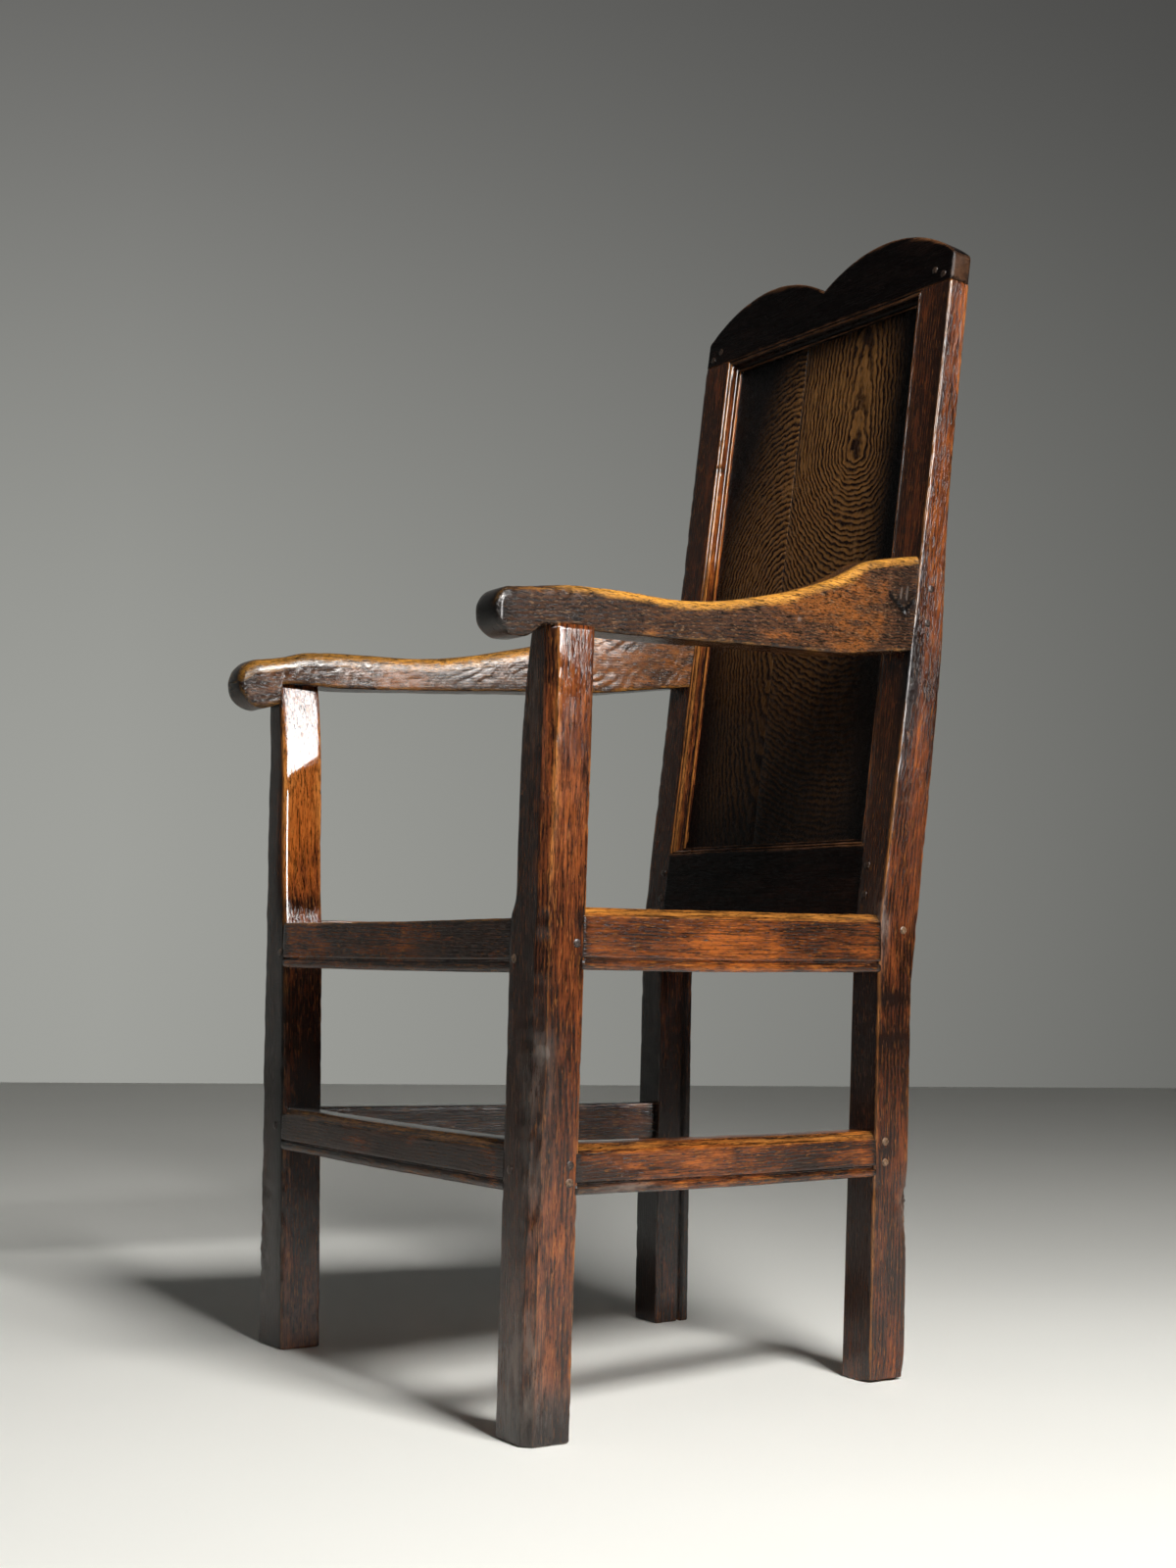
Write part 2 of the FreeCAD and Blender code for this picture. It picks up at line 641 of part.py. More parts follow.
def shape_stile_sides(body, side, deepest):
    """Saws the blank to its side view: the front face, then the back with its heel and its thinner top."""
    across = spans(side, "(rear_inner_foot - overrun)", "(rear_outer_top + overrun)")
    over = "(stile_up + overrun)"
    front = [
        ("rear_setback", "0"),
        ("rear_setback_seat", "kink_height"),
        raked_place(over, "0"),
        ("(rear_setback - 2 * overrun)", raked_place(over, "0")[1]),
        ("(rear_setback - 2 * overrun)", "0"),
    ]
    pocket(body, "front_face", "YZ", across, front)
    back = [
        ("(rear_setback + rear_leg_depth)", "0"),
        (f"({deepest} + overrun)", "0"),
        (f"({deepest} + overrun)", raked_place(over, "0")[1]),
        raked_place(over, "stile_depth_top"),
        raked_place("stile_up", "stile_depth_top"),
        raked_place("stile_middle_up", "stile_depth_middle"),
        raked_place("stile_arm_up", "stile_depth_arm"),
        raked_place("0", "stile_depth_seat"),
        (f"({rear_front('heel_height')} + heel_depth)", "heel_height"),
    ]
    pocket(body, "back_face", "YZ", across, back)
    narrow = "(moulding_line - moulding_wide)"
    beyond = f"({narrow} - overrun)"
    through = ("(0 - overrun)", "(stile_depth_seat + overrun)")
    top = [
        (beyond, "(stile_up - moulding_wide)"),
        (narrow, "(stile_up - moulding_wide)"),
        ("moulding_line", "stile_up"),
        ("(rear_outer_top + overrun)", "stile_up"),
        ("(rear_outer_top + overrun)", over),
        (beyond, over),
    ]
    pocket(body, "top_end", "XZ", through, sided(side, top), raked=True)
    bottom = [
        ("moulding_line", "(0 - overrun)"),
        ("moulding_line", "lower_rail_up"),
        (narrow, "(lower_rail_up + lower_moulding_tall)"),
        (beyond, "(lower_rail_up + lower_moulding_tall)"),
        (beyond, "(0 - overrun)"),
    ]
    pocket(body, "lower_mitre", "XZ", through, sided(side, bottom), raked=True)


def rear_stile_mortises(body, side):
    """Mortises for the side pieces, the rear rail, the lower back rail and the arm, then the peg holes."""
    for name, low, high in side_members(side, "rear"):
        middle = f"(({low}) + ({high})) / 2"
        face = rear_front(middle)
        outer = f"({rear_outer(middle)} - side_tenon_inset + fit)"
        inner = f"({rear_outer(middle)} - side_tenon_inset - tenon_thick - fit)"
        up = (f"({low} + tenon_shoulder - fit)", f"({high} - tenon_shoulder + fit)")
        reach = (f"({face} - overrun)", f"({face} + side_rear_tenon_length + fit)")
        pocket(body, f"{name}_mortise", "XY", up, box(spans(side, inner, outer), reach))
    face = "(rear_setback_seat + rear_rail_inset + back_tenon_inset)"
    deep = (f"({face} - fit)", f"({face} + tenon_thick + fit)")
    across = spans(side, "(rear_inner_foot - overrun)", "(rear_inner_foot + rear_tenon_length + fit)")
    up = ("(rear_rail_low + tenon_shoulder - fit)", "(rear_rail_high - tenon_shoulder + fit)")
    pocket(body, "rear_rail_mortise", "XZ", deep, box(across, up))
    across = spans(side, "(rear_inner_foot - overrun)", "(moulding_line + rear_tenon_length + fit)")
    deep = ("(back_tenon_inset - fit)", "(back_tenon_inset + tenon_thick + fit)")
    up = ("(lower_rail_low + tenon_shoulder - fit)", "(lower_rail_up - tenon_shoulder + fit)")
    pocket(body, "lower_rail_mortise", "XY", up, box(across, deep), raked=True)
    outer = "(rear_outer_top - arm_tenon_inset + fit)"
    inner = "(rear_outer_top - arm_tenon_inset - arm_tenon_thick - fit)"
    face = back_front("arm_tenon_low")
    reach = (f"({face} - overrun)", f"({face} + arm_tenon_length + fit)")
    up = ("(arm_tenon_low - fit)", "(arm_tenon_high + fit)")
    pocket(body, "arm_mortise", "XY", up, box(spans(side, inner, outer), reach))
    across = spans(side, "(rear_outer_foot - peg_long - fit)", "(rear_outer_top + overrun)")
    bore(body, "side_seat_peg_hole", "YZ", across, side_seat_peg_rear(side))
    bore(body, "side_stretcher_peg_holes", "YZ", across, SIDE_STRETCHER_PEGS_REAR)
    bore(body, "arm_peg_holes", "YZ", across, arm_pegs())
    bore(body, "rear_rail_peg_hole", "XZ", REAR_PEG_SPAN, sided(side, [REAR_RAIL_PEG]))
    bore(body, "lower_rail_peg_holes", "XZ", RAKED_PEG_SPAN, sided(side, LOWER_RAIL_PEGS), raked=True)
    bore(body, "crest_peg_holes", "XZ", CREST_PEG_SPAN, sided(side, CREST_PEGS), raked=True)


# Pieces across the front and the rear

def cross_member(label, low, high, tilt, thick, chamfer):
    """A rail or stretcher between the front legs, a little higher at its right end."""
    body = new_body(label)
    outline = [
        (-1, f"({low} - {tilt})"),
        (1, f"({low} + {tilt})"),
        (1, f"({high} + {tilt})"),
        (-1, f"({high} - {tilt})"),
    ]
    corners = [(mirrored(side, front_inner(side, height)), height) for side, height in outline]
    pad(body, "rail", "XZ", (FRONT_FACE, f"{FRONT_FACE} + {thick}"), corners)
    if chamfer:
        bevel(body, "worn_top", ("0", FRONT_FACE, high), chamfer)
    for side, name in ((1, "right"), (-1, "left")):
        inner = f"({front_inner(side, low)} - overrun / 4)"
        outer = f"({front_inner(side, low)} + tenon_length)"
        deep = (f"({FRONT_FACE} + cross_tenon_inset)", f"({FRONT_FACE} + cross_tenon_inset + tenon_thick)")
        up = (f"({low} + {tilt} + tenon_shoulder)", f"({high} - {tilt} - tenon_shoulder)")
        pad(body, f"{name}_tenon", "XZ", deep, box(spans(side, inner, outer), up))
    wide = "(front_outer_foot + overrun)"
    quirk = [
        (negative(wide), f"({low} - {tilt} + bead_tall)"),
        (wide, f"({low} + {tilt} + bead_tall)"),
        (wide, f"({low} + {tilt} + bead_tall + quirk_tall)"),
        (negative(wide), f"({low} - {tilt} + bead_tall + quirk_tall)"),
    ]
    pocket(body, "quirk", "XZ", (f"({FRONT_FACE} - overrun)", f"({FRONT_FACE} + quirk_deep)"), quirk)
    return body


def front_seat_rail():
    names = ("front_rail_low", "front_rail_high", "front_rail_tilt")
    body = cross_member("front_seat_rail", *names, "seat_rail_thick", None)
    inside = f"({FRONT_FACE} + seat_rail_thick)"
    reach = (f"({inside} - seat_rebate)", f"({inside} + overrun)")
    wide = "(front_outer_foot + overrun)"
    up = ("seat_ledge_height", "(front_rail_high + overrun)")
    pocket(body, "seat_rebate_cut", "XY", up, box((negative(wide), wide), reach))
    holes = both_sides([("(front_inner_seat + cross_peg_setback)", FRONT_RAIL_PEG_HEIGHT)])
    bore(body, "peg_holes", "XZ", FRONT_PEG_SPAN, holes)


def front_stretcher():
    names = ("front_stretcher_low", "front_stretcher_high", "front_stretcher_tilt")
    body = cross_member("front_stretcher", *names, "stretcher_thick", "stretcher_bevel")
    holes = both_sides([("(front_inner_seat + cross_peg_setback)", FRONT_STRETCHER_PEG_HEIGHT)])
    bore(body, "peg_holes", "XZ", FRONT_PEG_SPAN, holes)


def rear_seat_rail():
    body = new_body("rear_seat_rail")
    heights = ("rear_rail_low", "rear_rail_high")
    face = "(rear_setback_seat + rear_rail_inset)"
    corners = [
        (negative(rear_inner(heights[0])), heights[0]),
        (rear_inner(heights[0]), heights[0]),
        (rear_inner(heights[1]), heights[1]),
        (negative(rear_inner(heights[1])), heights[1]),
    ]
    pad(body, "rail", "XZ", (face, f"{face} + seat_rail_thick"), corners)
    deep = (f"({face} + back_tenon_inset)", f"({face} + back_tenon_inset + tenon_thick)")
    up = ("(rear_rail_low + tenon_shoulder)", "(rear_rail_high - tenon_shoulder)")
    across = ("(0 - rear_inner_foot - rear_tenon_length)", "(rear_inner_foot + rear_tenon_length)")
    pad(body, "tenons", "XZ", deep, box(across, up))
    wide = "(rear_inner_foot + overrun)"
    reach = (f"({face} - overrun)", f"({face} + seat_rebate)")
    up = ("seat_ledge_height", "(rear_rail_high + overrun)")
    pocket(body, "seat_rebate_cut", "XY", up, box((negative(wide), wide), reach))
    bore(body, "peg_holes", "XZ", REAR_PEG_SPAN, both_sides([REAR_RAIL_PEG]))


# Pieces along the sides

def side_member(side, label, thick, chamfer, ends):
    """A rail or stretcher from front leg to rear leg, following the splay of the seat."""
    (low_front, high_front), (low_rear, high_rear) = ends
    body = new_body(label)
    middle = f"(({low_front} + {high_front} + {low_rear} + {high_rear}) / 4)"
    corners = [
        (FRONT_LEG_BACK, low_front),
        (rear_front(low_rear), low_rear),
        (rear_front(high_rear), high_rear),
        (FRONT_LEG_BACK, high_front),
    ]
    wide = "(front_outer_top + overrun)"
    pad(body, "rail", "YZ", spans(side, "(rear_inner_foot - overrun)", wide), corners)
    up = (f"({low_rear} - overrun)", f"({high_rear} + overrun)")
    first = f"({FRONT_LEG_BACK} - overrun)"
    last = "(rear_setback_seat + overrun)"
    for name, inward, beyond in (("outer_face", "0", f"(2 * {wide})"), ("inner_face", thick, "0")):
        cut = [
            (side_line(first, middle, inward), first),
            (side_line(last, middle, inward), last),
            (beyond, last),
            (beyond, first),
        ]
        pocket(body, name, "XY", up, sided(side, cut))
    if chamfer:
        centre = f"(({FRONT_LEG_BACK} + rear_setback_seat) / 2)"
        high = f"(({high_front} + {high_rear}) / 2)"
        bevel(body, "worn_top", (mirrored(side, side_line(centre, middle)), centre, high), chamfer)
    side_tenons(body, side, ends)
    low = f"(({low_front} + {low_rear}) / 2 + bead_tall)"
    shallow = side_line(first, middle, "quirk_deep")
    quirk = [
        (shallow, first),
        (side_line(last, middle, "quirk_deep"), last),
        (f"(2 * {wide})", last),
        (f"(2 * {wide})", first),
    ]
    pocket(body, "quirk", "XY", (low, f"{low} + quirk_tall"), sided(side, quirk))
    return body


def side_tenons(body, side, ends):
    """The tenons of a side piece, square to the legs."""
    (low_front, high_front), (low_rear, high_rear) = ends
    middle = f"(({low_front}) + ({high_front})) / 2"
    outer = f"({side_line(FRONT_LEG_BACK, middle)} - side_tenon_inset)"
    inner = f"({side_line(FRONT_LEG_BACK, middle)} - side_tenon_inset - tenon_thick)"
    up = (f"({low_front} + tenon_shoulder)", f"({high_front} - tenon_shoulder)")
    reach = (f"({FRONT_LEG_BACK} - tenon_length)", f"({FRONT_LEG_BACK} + tenon_thick)")
    pad(body, "front_tenon", "XY", up, box(spans(side, inner, outer), reach))
    middle = f"(({low_rear}) + ({high_rear})) / 2"
    face = rear_front(middle)
    outer = f"({rear_outer(middle)} - side_tenon_inset)"
    inner = f"({rear_outer(middle)} - side_tenon_inset - tenon_thick)"
    up = (f"({low_rear} + tenon_shoulder)", f"({high_rear} - tenon_shoulder)")
    reach = (f"({face} - tenon_thick)", f"({face} + side_rear_tenon_length)")
    pad(body, "rear_tenon", "XY", up, box(spans(side, inner, outer), reach))


def side_seat_rail(side, label, high_front, high_rear):
    ends = (("side_rail_low", high_front), ("side_rail_low", high_rear))
    body = side_member(side, label, "seat_rail_thick", "seat_lip", ends)
    middle = f"((side_rail_low * 2 + {high_front} + {high_rear}) / 4)"
    first = f"({FRONT_LEG_BACK} + fit)"
    last = "(rear_setback_seat - fit)"
    ledge = "(seat_rail_thick - seat_rebate)"
    cut = [
        (side_line(f"({first} - overrun)", middle, ledge), f"({first} - overrun)"),
        (side_line(f"({last} + overrun)", middle, ledge), f"({last} + overrun)"),
        ("0", f"({last} + overrun)"),
        ("0", f"({first} - overrun)"),
    ]
    up = ("seat_ledge_height", f"({high_rear} + overrun)")
    pocket(body, "seat_rebate_cut", "XY", up, sided(side, cut))
    across = spans(side, "(rear_inner_foot - overrun)", "(front_outer_top + overrun)")
    bore(body, "peg_holes", "YZ", across, SIDE_SEAT_PEG_FRONT + side_seat_peg_rear(side))


def side_stretcher(side, label, ends):
    body = side_member(side, label, "stretcher_thick", "stretcher_bevel", ends)
    across = spans(side, "(rear_inner_foot - overrun)", "(front_outer_top + overrun)")
    bore(body, "peg_holes", "YZ", across, SIDE_STRETCHER_PEGS_FRONT + SIDE_STRETCHER_PEGS_REAR)


# Seat boards

def seat_board(label, first, last, front_notch=False, rear_notch=False):
    """One board across the seat; the end boards are notched round the legs."""
    body = new_body(label)
    middle = "((side_rail_low + right_rail_high_front) / 2)"
    ledge = "(seat_rail_thick - seat_rebate + board_fit)"
    corners = []
    if front_notch:
        notch = f"({FRONT_LEG_BACK} + board_fit)"
        narrow = "(front_inner_seat - board_fit)"
        corners += [(narrow, first), (narrow, notch), (side_line(notch, middle, ledge), notch)]
    else:
        corners += [(side_line(first, middle, ledge), first)]
    if rear_notch:
        notch = "(rear_setback - board_fit)"
        narrow = "(rear_inner_foot - board_fit)"
        corners += [(side_line(notch, middle, ledge), notch), (narrow, notch), (narrow, last)]
    else:
        corners += [(side_line(last, middle, ledge), last)]
    other = [(negative(across), back) for across, back in reversed(corners)]
    pad(body, "board", "XY", ("seat_ledge_height", "seat_ledge_height + seat_board_thick"), corners + other)


def seat_boards():
    front = f"({FRONT_FACE} + seat_rail_thick - seat_rebate + board_fit)"
    rear = "(rear_setback_seat + rear_rail_inset + seat_rebate - board_fit)"
    third = f"(({rear} - {front}) / 3)"
    gap = "(seat_board_gap / 2)"
    seat_board("seat_board_front", front, f"({front} + {third} - {gap})", front_notch=True)
    seat_board("seat_board_middle", f"({front} + {third} + {gap})", f"({front} + 2 * {third} - {gap})")
    seat_board("seat_board_rear", f"({front} + 2 * {third} + {gap})", rear, rear_notch=True)


# Back frame, drawn in the raked frame: across, up the rake and in from the front face

def crest_rail():
    body = new_body("crest_rail", raked=True)
    narrow = "(moulding_line - moulding_wide)"
    low = "(stile_up - moulding_wide)"
    corners = [
        (negative(narrow), low),
        (narrow, low),
        ("moulding_line", "stile_up"),
        ("rear_outer_top", "stile_up"),
        ("rear_outer_top", "crest_end_up", "crest_arch_radius"),
        ("0", "crest_valley_up", "crest_arch_radius"),
        (negative("rear_outer_top"), "crest_end_up"),
        (negative("rear_outer_top"), "stile_up"),
        (negative("moulding_line"), "stile_up"),
    ]
    pad(body, "board", "XZ", ("0", "crest_thick"), corners)
    wide = "(rear_outer_top + overrun)"
    moulding = [
        ("0", "stile_up"),
        ("(2 * moulding_deep)", "(stile_up - 2 * moulding_wide)"),
        ("(0 - moulding_deep)", "(stile_up - 2 * moulding_wide)"),
        ("(0 - moulding_deep)", "stile_up"),
    ]
    pocket(body, "moulded_edge", "YZ", (negative("moulding_line"), "moulding_line"), moulding)
    groove = ("moulding_deep", "(moulding_deep + panel_thick + 2 * fit)")
    up = (f"({low} - overrun)", f"({low} + panel_groove_deep)")
    pocket(body, "panel_groove", "YZ", (negative(wide), wide), box(groove, up))
    up = (low, "(stile_up + stile_tenon_tall + fit)")
    for side, name in ((1, "right"), (-1, "left")):
        across, deep = crest_tenon(side, "fit")
        pocket(body, f"{name}_mortise", "XZ", deep, box(across, up))
    bore(body, "peg_holes", "XZ", CREST_PEG_SPAN, both_sides(CREST_PEGS))


def lower_back_rail():
    body = new_body("lower_back_rail", raked=True)
    narrow = "(moulding_line - moulding_wide)"
    high = "(lower_rail_up + lower_moulding_tall)"
    corners = [
        (negative("moulding_line"), "lower_rail_low"),
        ("moulding_line", "lower_rail_low"),
        ("moulding_line", "lower_rail_up"),
        (narrow, high),
        (negative(narrow), high),
        (negative("moulding_line"), "lower_rail_up"),
    ]
    pad(body, "rail", "XZ", ("0", "lower_rail_thick"), corners)
    moulding = [
        ("0", "lower_rail_up"),
        ("(2 * moulding_deep)", "(lower_rail_up + 2 * lower_moulding_tall)"),
        ("(0 - moulding_deep)", "(lower_rail_up + 2 * lower_moulding_tall)"),
        ("(0 - moulding_deep)", "lower_rail_up"),
    ]
    pocket(body, "moulded_edge", "YZ", (negative("moulding_line"), "moulding_line"), moulding)
    groove = ("moulding_deep", "(moulding_deep + panel_thick + 2 * fit)")
    up = (f"({high} - panel_groove_deep)", f"({high} + overrun)")
    pocket(body, "panel_groove", "YZ", (negative("moulding_line"), "moulding_line"), box(groove, up))
    deep = ("back_tenon_inset", "(back_tenon_inset + tenon_thick)")
    across = ("(0 - moulding_line - rear_tenon_length)", "(moulding_line + rear_tenon_length)")
    up = ("(lower_rail_low + tenon_shoulder)", "(lower_rail_up - tenon_shoulder)")
    pad(body, "tenons", "XZ", deep, box(across, up))
    bore(body, "peg_holes", "XZ", RAKED_PEG_SPAN, both_sides(LOWER_RAIL_PEGS))


def panel_board(label, across):
    """One upright board of the panel, standing on the floor of the groove in the lower rail."""
    body = new_body(label, raked=True)
    low = "(lower_rail_up + lower_moulding_tall - panel_groove_deep)"
    high = "(stile_up - moulding_wide + panel_groove_deep - board_fit)"
    deep = ("(moulding_deep + fit)", "(moulding_deep + fit + panel_thick)")
    pad(body, "board", "XZ", deep, box(across, (low, high)))


# Arms

# Shares of the scroll's reach ahead of the leg and of its radius, for the throat behind each scroll.
# Then shares of the arm's reach and height, for its underside and its top.

RIGHT_THROAT_SHARES = [(0.61, 0.06), (0.20, 0.56)]
LEFT_THROAT_SHARES = [(0.19, 0.20), (0.0, 0.33)]
UNDERSIDE_SHARES = [(0.30, 0.09), (0.50, 0.23), (0.75, 0.37), (0.87, 0.53)]
END_SHARES = (0.72, 3.17)
SHOULDER_SHARES = [(0.925, 2.95), (0.860, 2.72)]
RISE_SHARE = (0.765, 2.12)
CROWN_SHARES = [(0.225, 1.0), (0.085, 1.0)]
SHOULDER_RADIUS_SHARE = 0.143
DIP_RADIUS_SHARE = 1.5
CROWN_RADIUS_SHARE = 0.33


def arm(side, label, scroll):
    """A sawn arm with a round scroll in front, dipping in the middle and rising to the stile."""
    body = new_body(label)
    radius, ahead, scroll_height = scroll
    middle = f"({FRONT_FACE} - {ahead})"
    tip = f"({middle} - {radius})"
    reach = f"({back_front('arm_underside')} - {FRONT_FACE})"
    wide = "(front_outer_top + 2 * overrun)"
    corners = arm_front(side, middle, tip, scroll) + arm_top(reach)
    pad(body, "profile", "YZ", spans(side, "(rear_inner_foot - overrun)", wide), corners)
    slope = f"((arm_outer_tip - {rear_outer('arm_tenon_low')}) / ({back_front('arm_tenon_low')} - {tip}))"
    first = f"({tip} - overrun)"
    last = f"({back_front('arm_tenon_high')} + overrun)"
    up = (f"({scroll_height} - {radius} - overrun)", "(arm_tenon_high + 2 * overrun)")
    for name, inward, beyond in (("outer_face", "0", f"(2 * {wide})"), ("inner_face", "arm_thick", "0")):
        cut = []
        for back in (first, last):
            cut.append((f"(arm_outer_tip - (({back}) - {tip}) * {slope} - {inward})", back))
        cut += [(beyond, last), (beyond, first)]
        pocket(body, name, "XY", up, sided(side, cut))
    face = back_front("arm_tenon_low")
    outer = "(rear_outer_top - arm_tenon_inset)"
    inner = "(rear_outer_top - arm_tenon_inset - arm_tenon_thick)"
    length = (f"({face} - arm_tenon_thick)", f"({face} + arm_tenon_length)")
    up = ("arm_tenon_low", "arm_tenon_high")
    pad(body, "rear_tenon", "XY", up, box(spans(side, inner, outer), length))
    across = support_tenon(side, "fit")
    centre = f"({FRONT_FACE} + front_leg_depth / 2)"
    deep = (f"({centre} - support_tenon_deep / 2 - fit)", f"({centre} + support_tenon_deep / 2 + fit)")
    up = ("(arm_underside - overrun)", "(arm_underside + support_tenon_tall + fit)")
    pocket(body, "support_mortise", "XY", up, box(across, deep))
    across = spans(side, "(rear_inner_foot - overrun)", "(rear_outer_top + overrun)")
    bore(body, "peg_holes", "YZ", across, arm_pegs())


def arm_front(side, middle, tip, scroll):
    """Side view round the scroll, up its throat and under the arm as far as the back of the leg."""
    radius, ahead, scroll_height = scroll
    top = f"({scroll_height} + {radius})"
    low = f"({scroll_height} - {radius})"
    throat = []
    for forward, up in RIGHT_THROAT_SHARES if side > 0 else LEFT_THROAT_SHARES:
        throat.append((f"({FRONT_FACE} - {ahead} * {forward})", f"({low} + {radius} * {up})"))
    bottom = (middle, low) if side > 0 else (middle, low, radius)
    curl = [(middle, top, radius), (tip, scroll_height, radius), bottom]
    return curl + throat + [(FRONT_FACE, "arm_underside"), (FRONT_LEG_BACK, "arm_underside")]


def arm_top(reach):
    """Side view along the underside to the stile, then forward over the shoulder, the dip and the crown."""
    def place(share):
        along, up = share
        return (f"({FRONT_FACE} + {reach} * {along})", f"(arm_underside + arm_tall * {up})")

    ends = [f"(arm_underside + arm_tall * {share})" for share in END_SHARES]
    corners = [place(share) for share in UNDERSIDE_SHARES]
    corners += [(back_front(height), height) for height in ends]
    corners += [
        (*place(SHOULDER_SHARES[0]), f"({reach} * {SHOULDER_RADIUS_SHARE})"),
        place(SHOULDER_SHARES[1]),
        (*place(RISE_SHARE), f"(0 - {reach} * {DIP_RADIUS_SHARE})"),
        (*place(CROWN_SHARES[0]), f"({reach} * {CROWN_RADIUS_SHARE})"),
        place(CROWN_SHARES[1]),
    ]
    return corners


# Pegs

def peg(name, axis, place, span):
    """A round peg along X or Y between two places."""
    cylinder = doc.addObject("Part::Cylinder", name)
    cylinder.setExpression("Radius", bound("peg_wide / 2"))
    cylinder.setExpression("Height", bound(f"({span[1]}) - ({span[0]})"))
    along = FreeCAD.Vector(1, 0, 0) if axis == "x" else FreeCAD.Vector(0, 1, 0)
    turn = FreeCAD.Rotation(FreeCAD.Vector(0, 0, 1), along)
    cylinder.Placement = FreeCAD.Placement(FreeCAD.Vector(0, 0, 0), turn)
    places = {"x": span[0], "y": place[0], "z": place[1]}
    if axis == "y":
        places = {"x": place[0], "y": span[0], "z": place[1]}
    for direction, text in places.items():
        cylinder.setExpression(f"Placement.Base.{direction}", bound(text))
    return cylinder


def raked_peg(name, place, span):
    """A round peg square to the raked face of the back, at a place across and up the rake."""
    cylinder = doc.addObject("Part::Cylinder", name)
    cylinder.setExpression("Radius", bound("peg_wide / 2"))
    cylinder.setExpression("Height", bound(f"({span[1]}) - ({span[0]})"))
    turn = FreeCAD.Rotation(FreeCAD.Vector(1, 0, 0), -90 - number("back_angle"))
    cylinder.Placement = FreeCAD.Placement(FreeCAD.Vector(0, 0, 0), turn)
    back, height = raked_place(place[1], span[0])
    cylinder.setExpression("Placement.Base.x", bound(place[0]))
    cylinder.setExpression("Placement.Base.y", bound(back))
    cylinder.setExpression("Placement.Base.z", bound(height))
    cylinder.setExpression("Placement.Rotation.Angle", bound("0 - 90 - back_angle"))
    return cylinder


def raked_pegs(name, places, length):
    pegs = []
    for index, place in enumerate(both_sides(places)):
        pegs.append(raked_peg(f"{name}_{index}", place, ("(0 - peg_stand)", length)))
    return pegs


def outward_pegs(name, side, places, outer):
    """Pegs driven in from the outer face of a leg."""
    pegs = []
    for index, place in enumerate(places):
        face = outer(place[1])
        across = spans(side, f"({face} - peg_long)", f"({face} + peg_stand)")
        pegs.append(peg(f"{name}_{'right' if side > 0 else 'left'}_{index}", "x", place, across))
    return pegs


def peg_group(label, pegs):
    """One node that holds a set of equal pegs as separate solids."""
    group = doc.addObject("Part::Compound", label)
    group.Label = label
    group.Links = pegs
    SUBPARTS.append(group)


def all_pegs():
    seat = []
    stretcher = []
    arms = []
    front_span = (f"({FRONT_FACE} - peg_stand)", f"({FRONT_FACE} + peg_long - fit)")
    for side in (1, -1):
        name = "right" if side > 0 else "left"
        seat += outward_pegs("front_seat_peg", side, SIDE_SEAT_PEG_FRONT, front_outer)
        seat += outward_pegs("rear_seat_peg", side, side_seat_peg_rear(side), rear_outer)
        stretcher += outward_pegs("front_stretcher_peg", side, SIDE_STRETCHER_PEGS_FRONT, front_outer)
        stretcher += outward_pegs("rear_stretcher_peg", side, SIDE_STRETCHER_PEGS_REAR, rear_outer)
        arms += outward_pegs("arm_peg", side, arm_pegs(), rear_outer)
        rail_place, stretcher_place = front_pegs(side)
        seat.append(peg(f"cross_seat_peg_{name}", "y", rail_place, front_span))
        stretcher.append(peg(f"cross_stretcher_peg_{name}", "y", stretcher_place, front_span))
        behind = heel_face(REAR_RAIL_PEG[1])
        rear_span = (f"({behind} - peg_long + fit)", f"({behind} + peg_stand)")
        rear_place = (mirrored(side, REAR_RAIL_PEG[0]), REAR_RAIL_PEG[1])
        seat.append(peg(f"rear_rail_peg_{name}", "y", rear_place, rear_span))
    peg_group("seat_rail_pegs", seat)
    peg_group("stretcher_pegs", stretcher)
    peg_group("arm_pegs", arms)
    peg_group("crest_pegs", raked_pegs("crest_peg", CREST_PEGS, "(crest_peg_long - fit)"))
    peg_group("lower_rail_pegs", raked_pegs("lower_rail_peg", LOWER_RAIL_PEGS, "(peg_long - fit)"))


# The chair

front_leg(1, "front_leg_right")
front_leg(-1, "front_leg_left")
rear_stile(1, "rear_stile_right")
rear_stile(-1, "rear_stile_left")
front_seat_rail()
rear_seat_rail()
side_seat_rail(1, "seat_rail_right", "right_rail_high_front", "right_rail_high_rear")
side_seat_rail(-1, "seat_rail_left", "left_rail_high", "left_rail_high")
front_stretcher()
side_stretcher(1, "stretcher_right", (
    ("right_stretcher_low_front", "right_stretcher_high_front"),
    ("right_stretcher_low_rear", "right_stretcher_high_rear"),
))
side_stretcher(-1, "stretcher_left", (
    ("left_stretcher_low", "left_stretcher_high"),
    ("left_stretcher_low", "left_stretcher_high"),
))
seat_boards()
crest_rail()
lower_back_rail()
PANEL_EDGE = "(moulding_line - moulding_wide + panel_groove_deep - board_fit)"
panel_board("panel_board_left", (negative(PANEL_EDGE), "(0 - panel_joint_left)"))
panel_board("panel_board_right", ("(0 - panel_joint_left)", PANEL_EDGE))
arm(1, "arm_right", ("right_scroll_radius", "right_scroll_ahead", "right_scroll_height"))
arm(-1, "arm_left", ("left_scroll_radius", "left_scroll_ahead", "left_scroll_height"))
all_pegs()
doc.recompute()


# Checks, then one file for each piece

def check(item):
    if "Invalid" in item.State or "Error" in item.State:
        raise ValueError(f"{item.Label} failed: {item.State}")


for item in doc.Objects:
    check(item)
for piece in SUBPARTS:
    if piece.Shape.isNull() or not piece.Shape.isValid():
        raise ValueError(f"{piece.Label} has no valid shape")

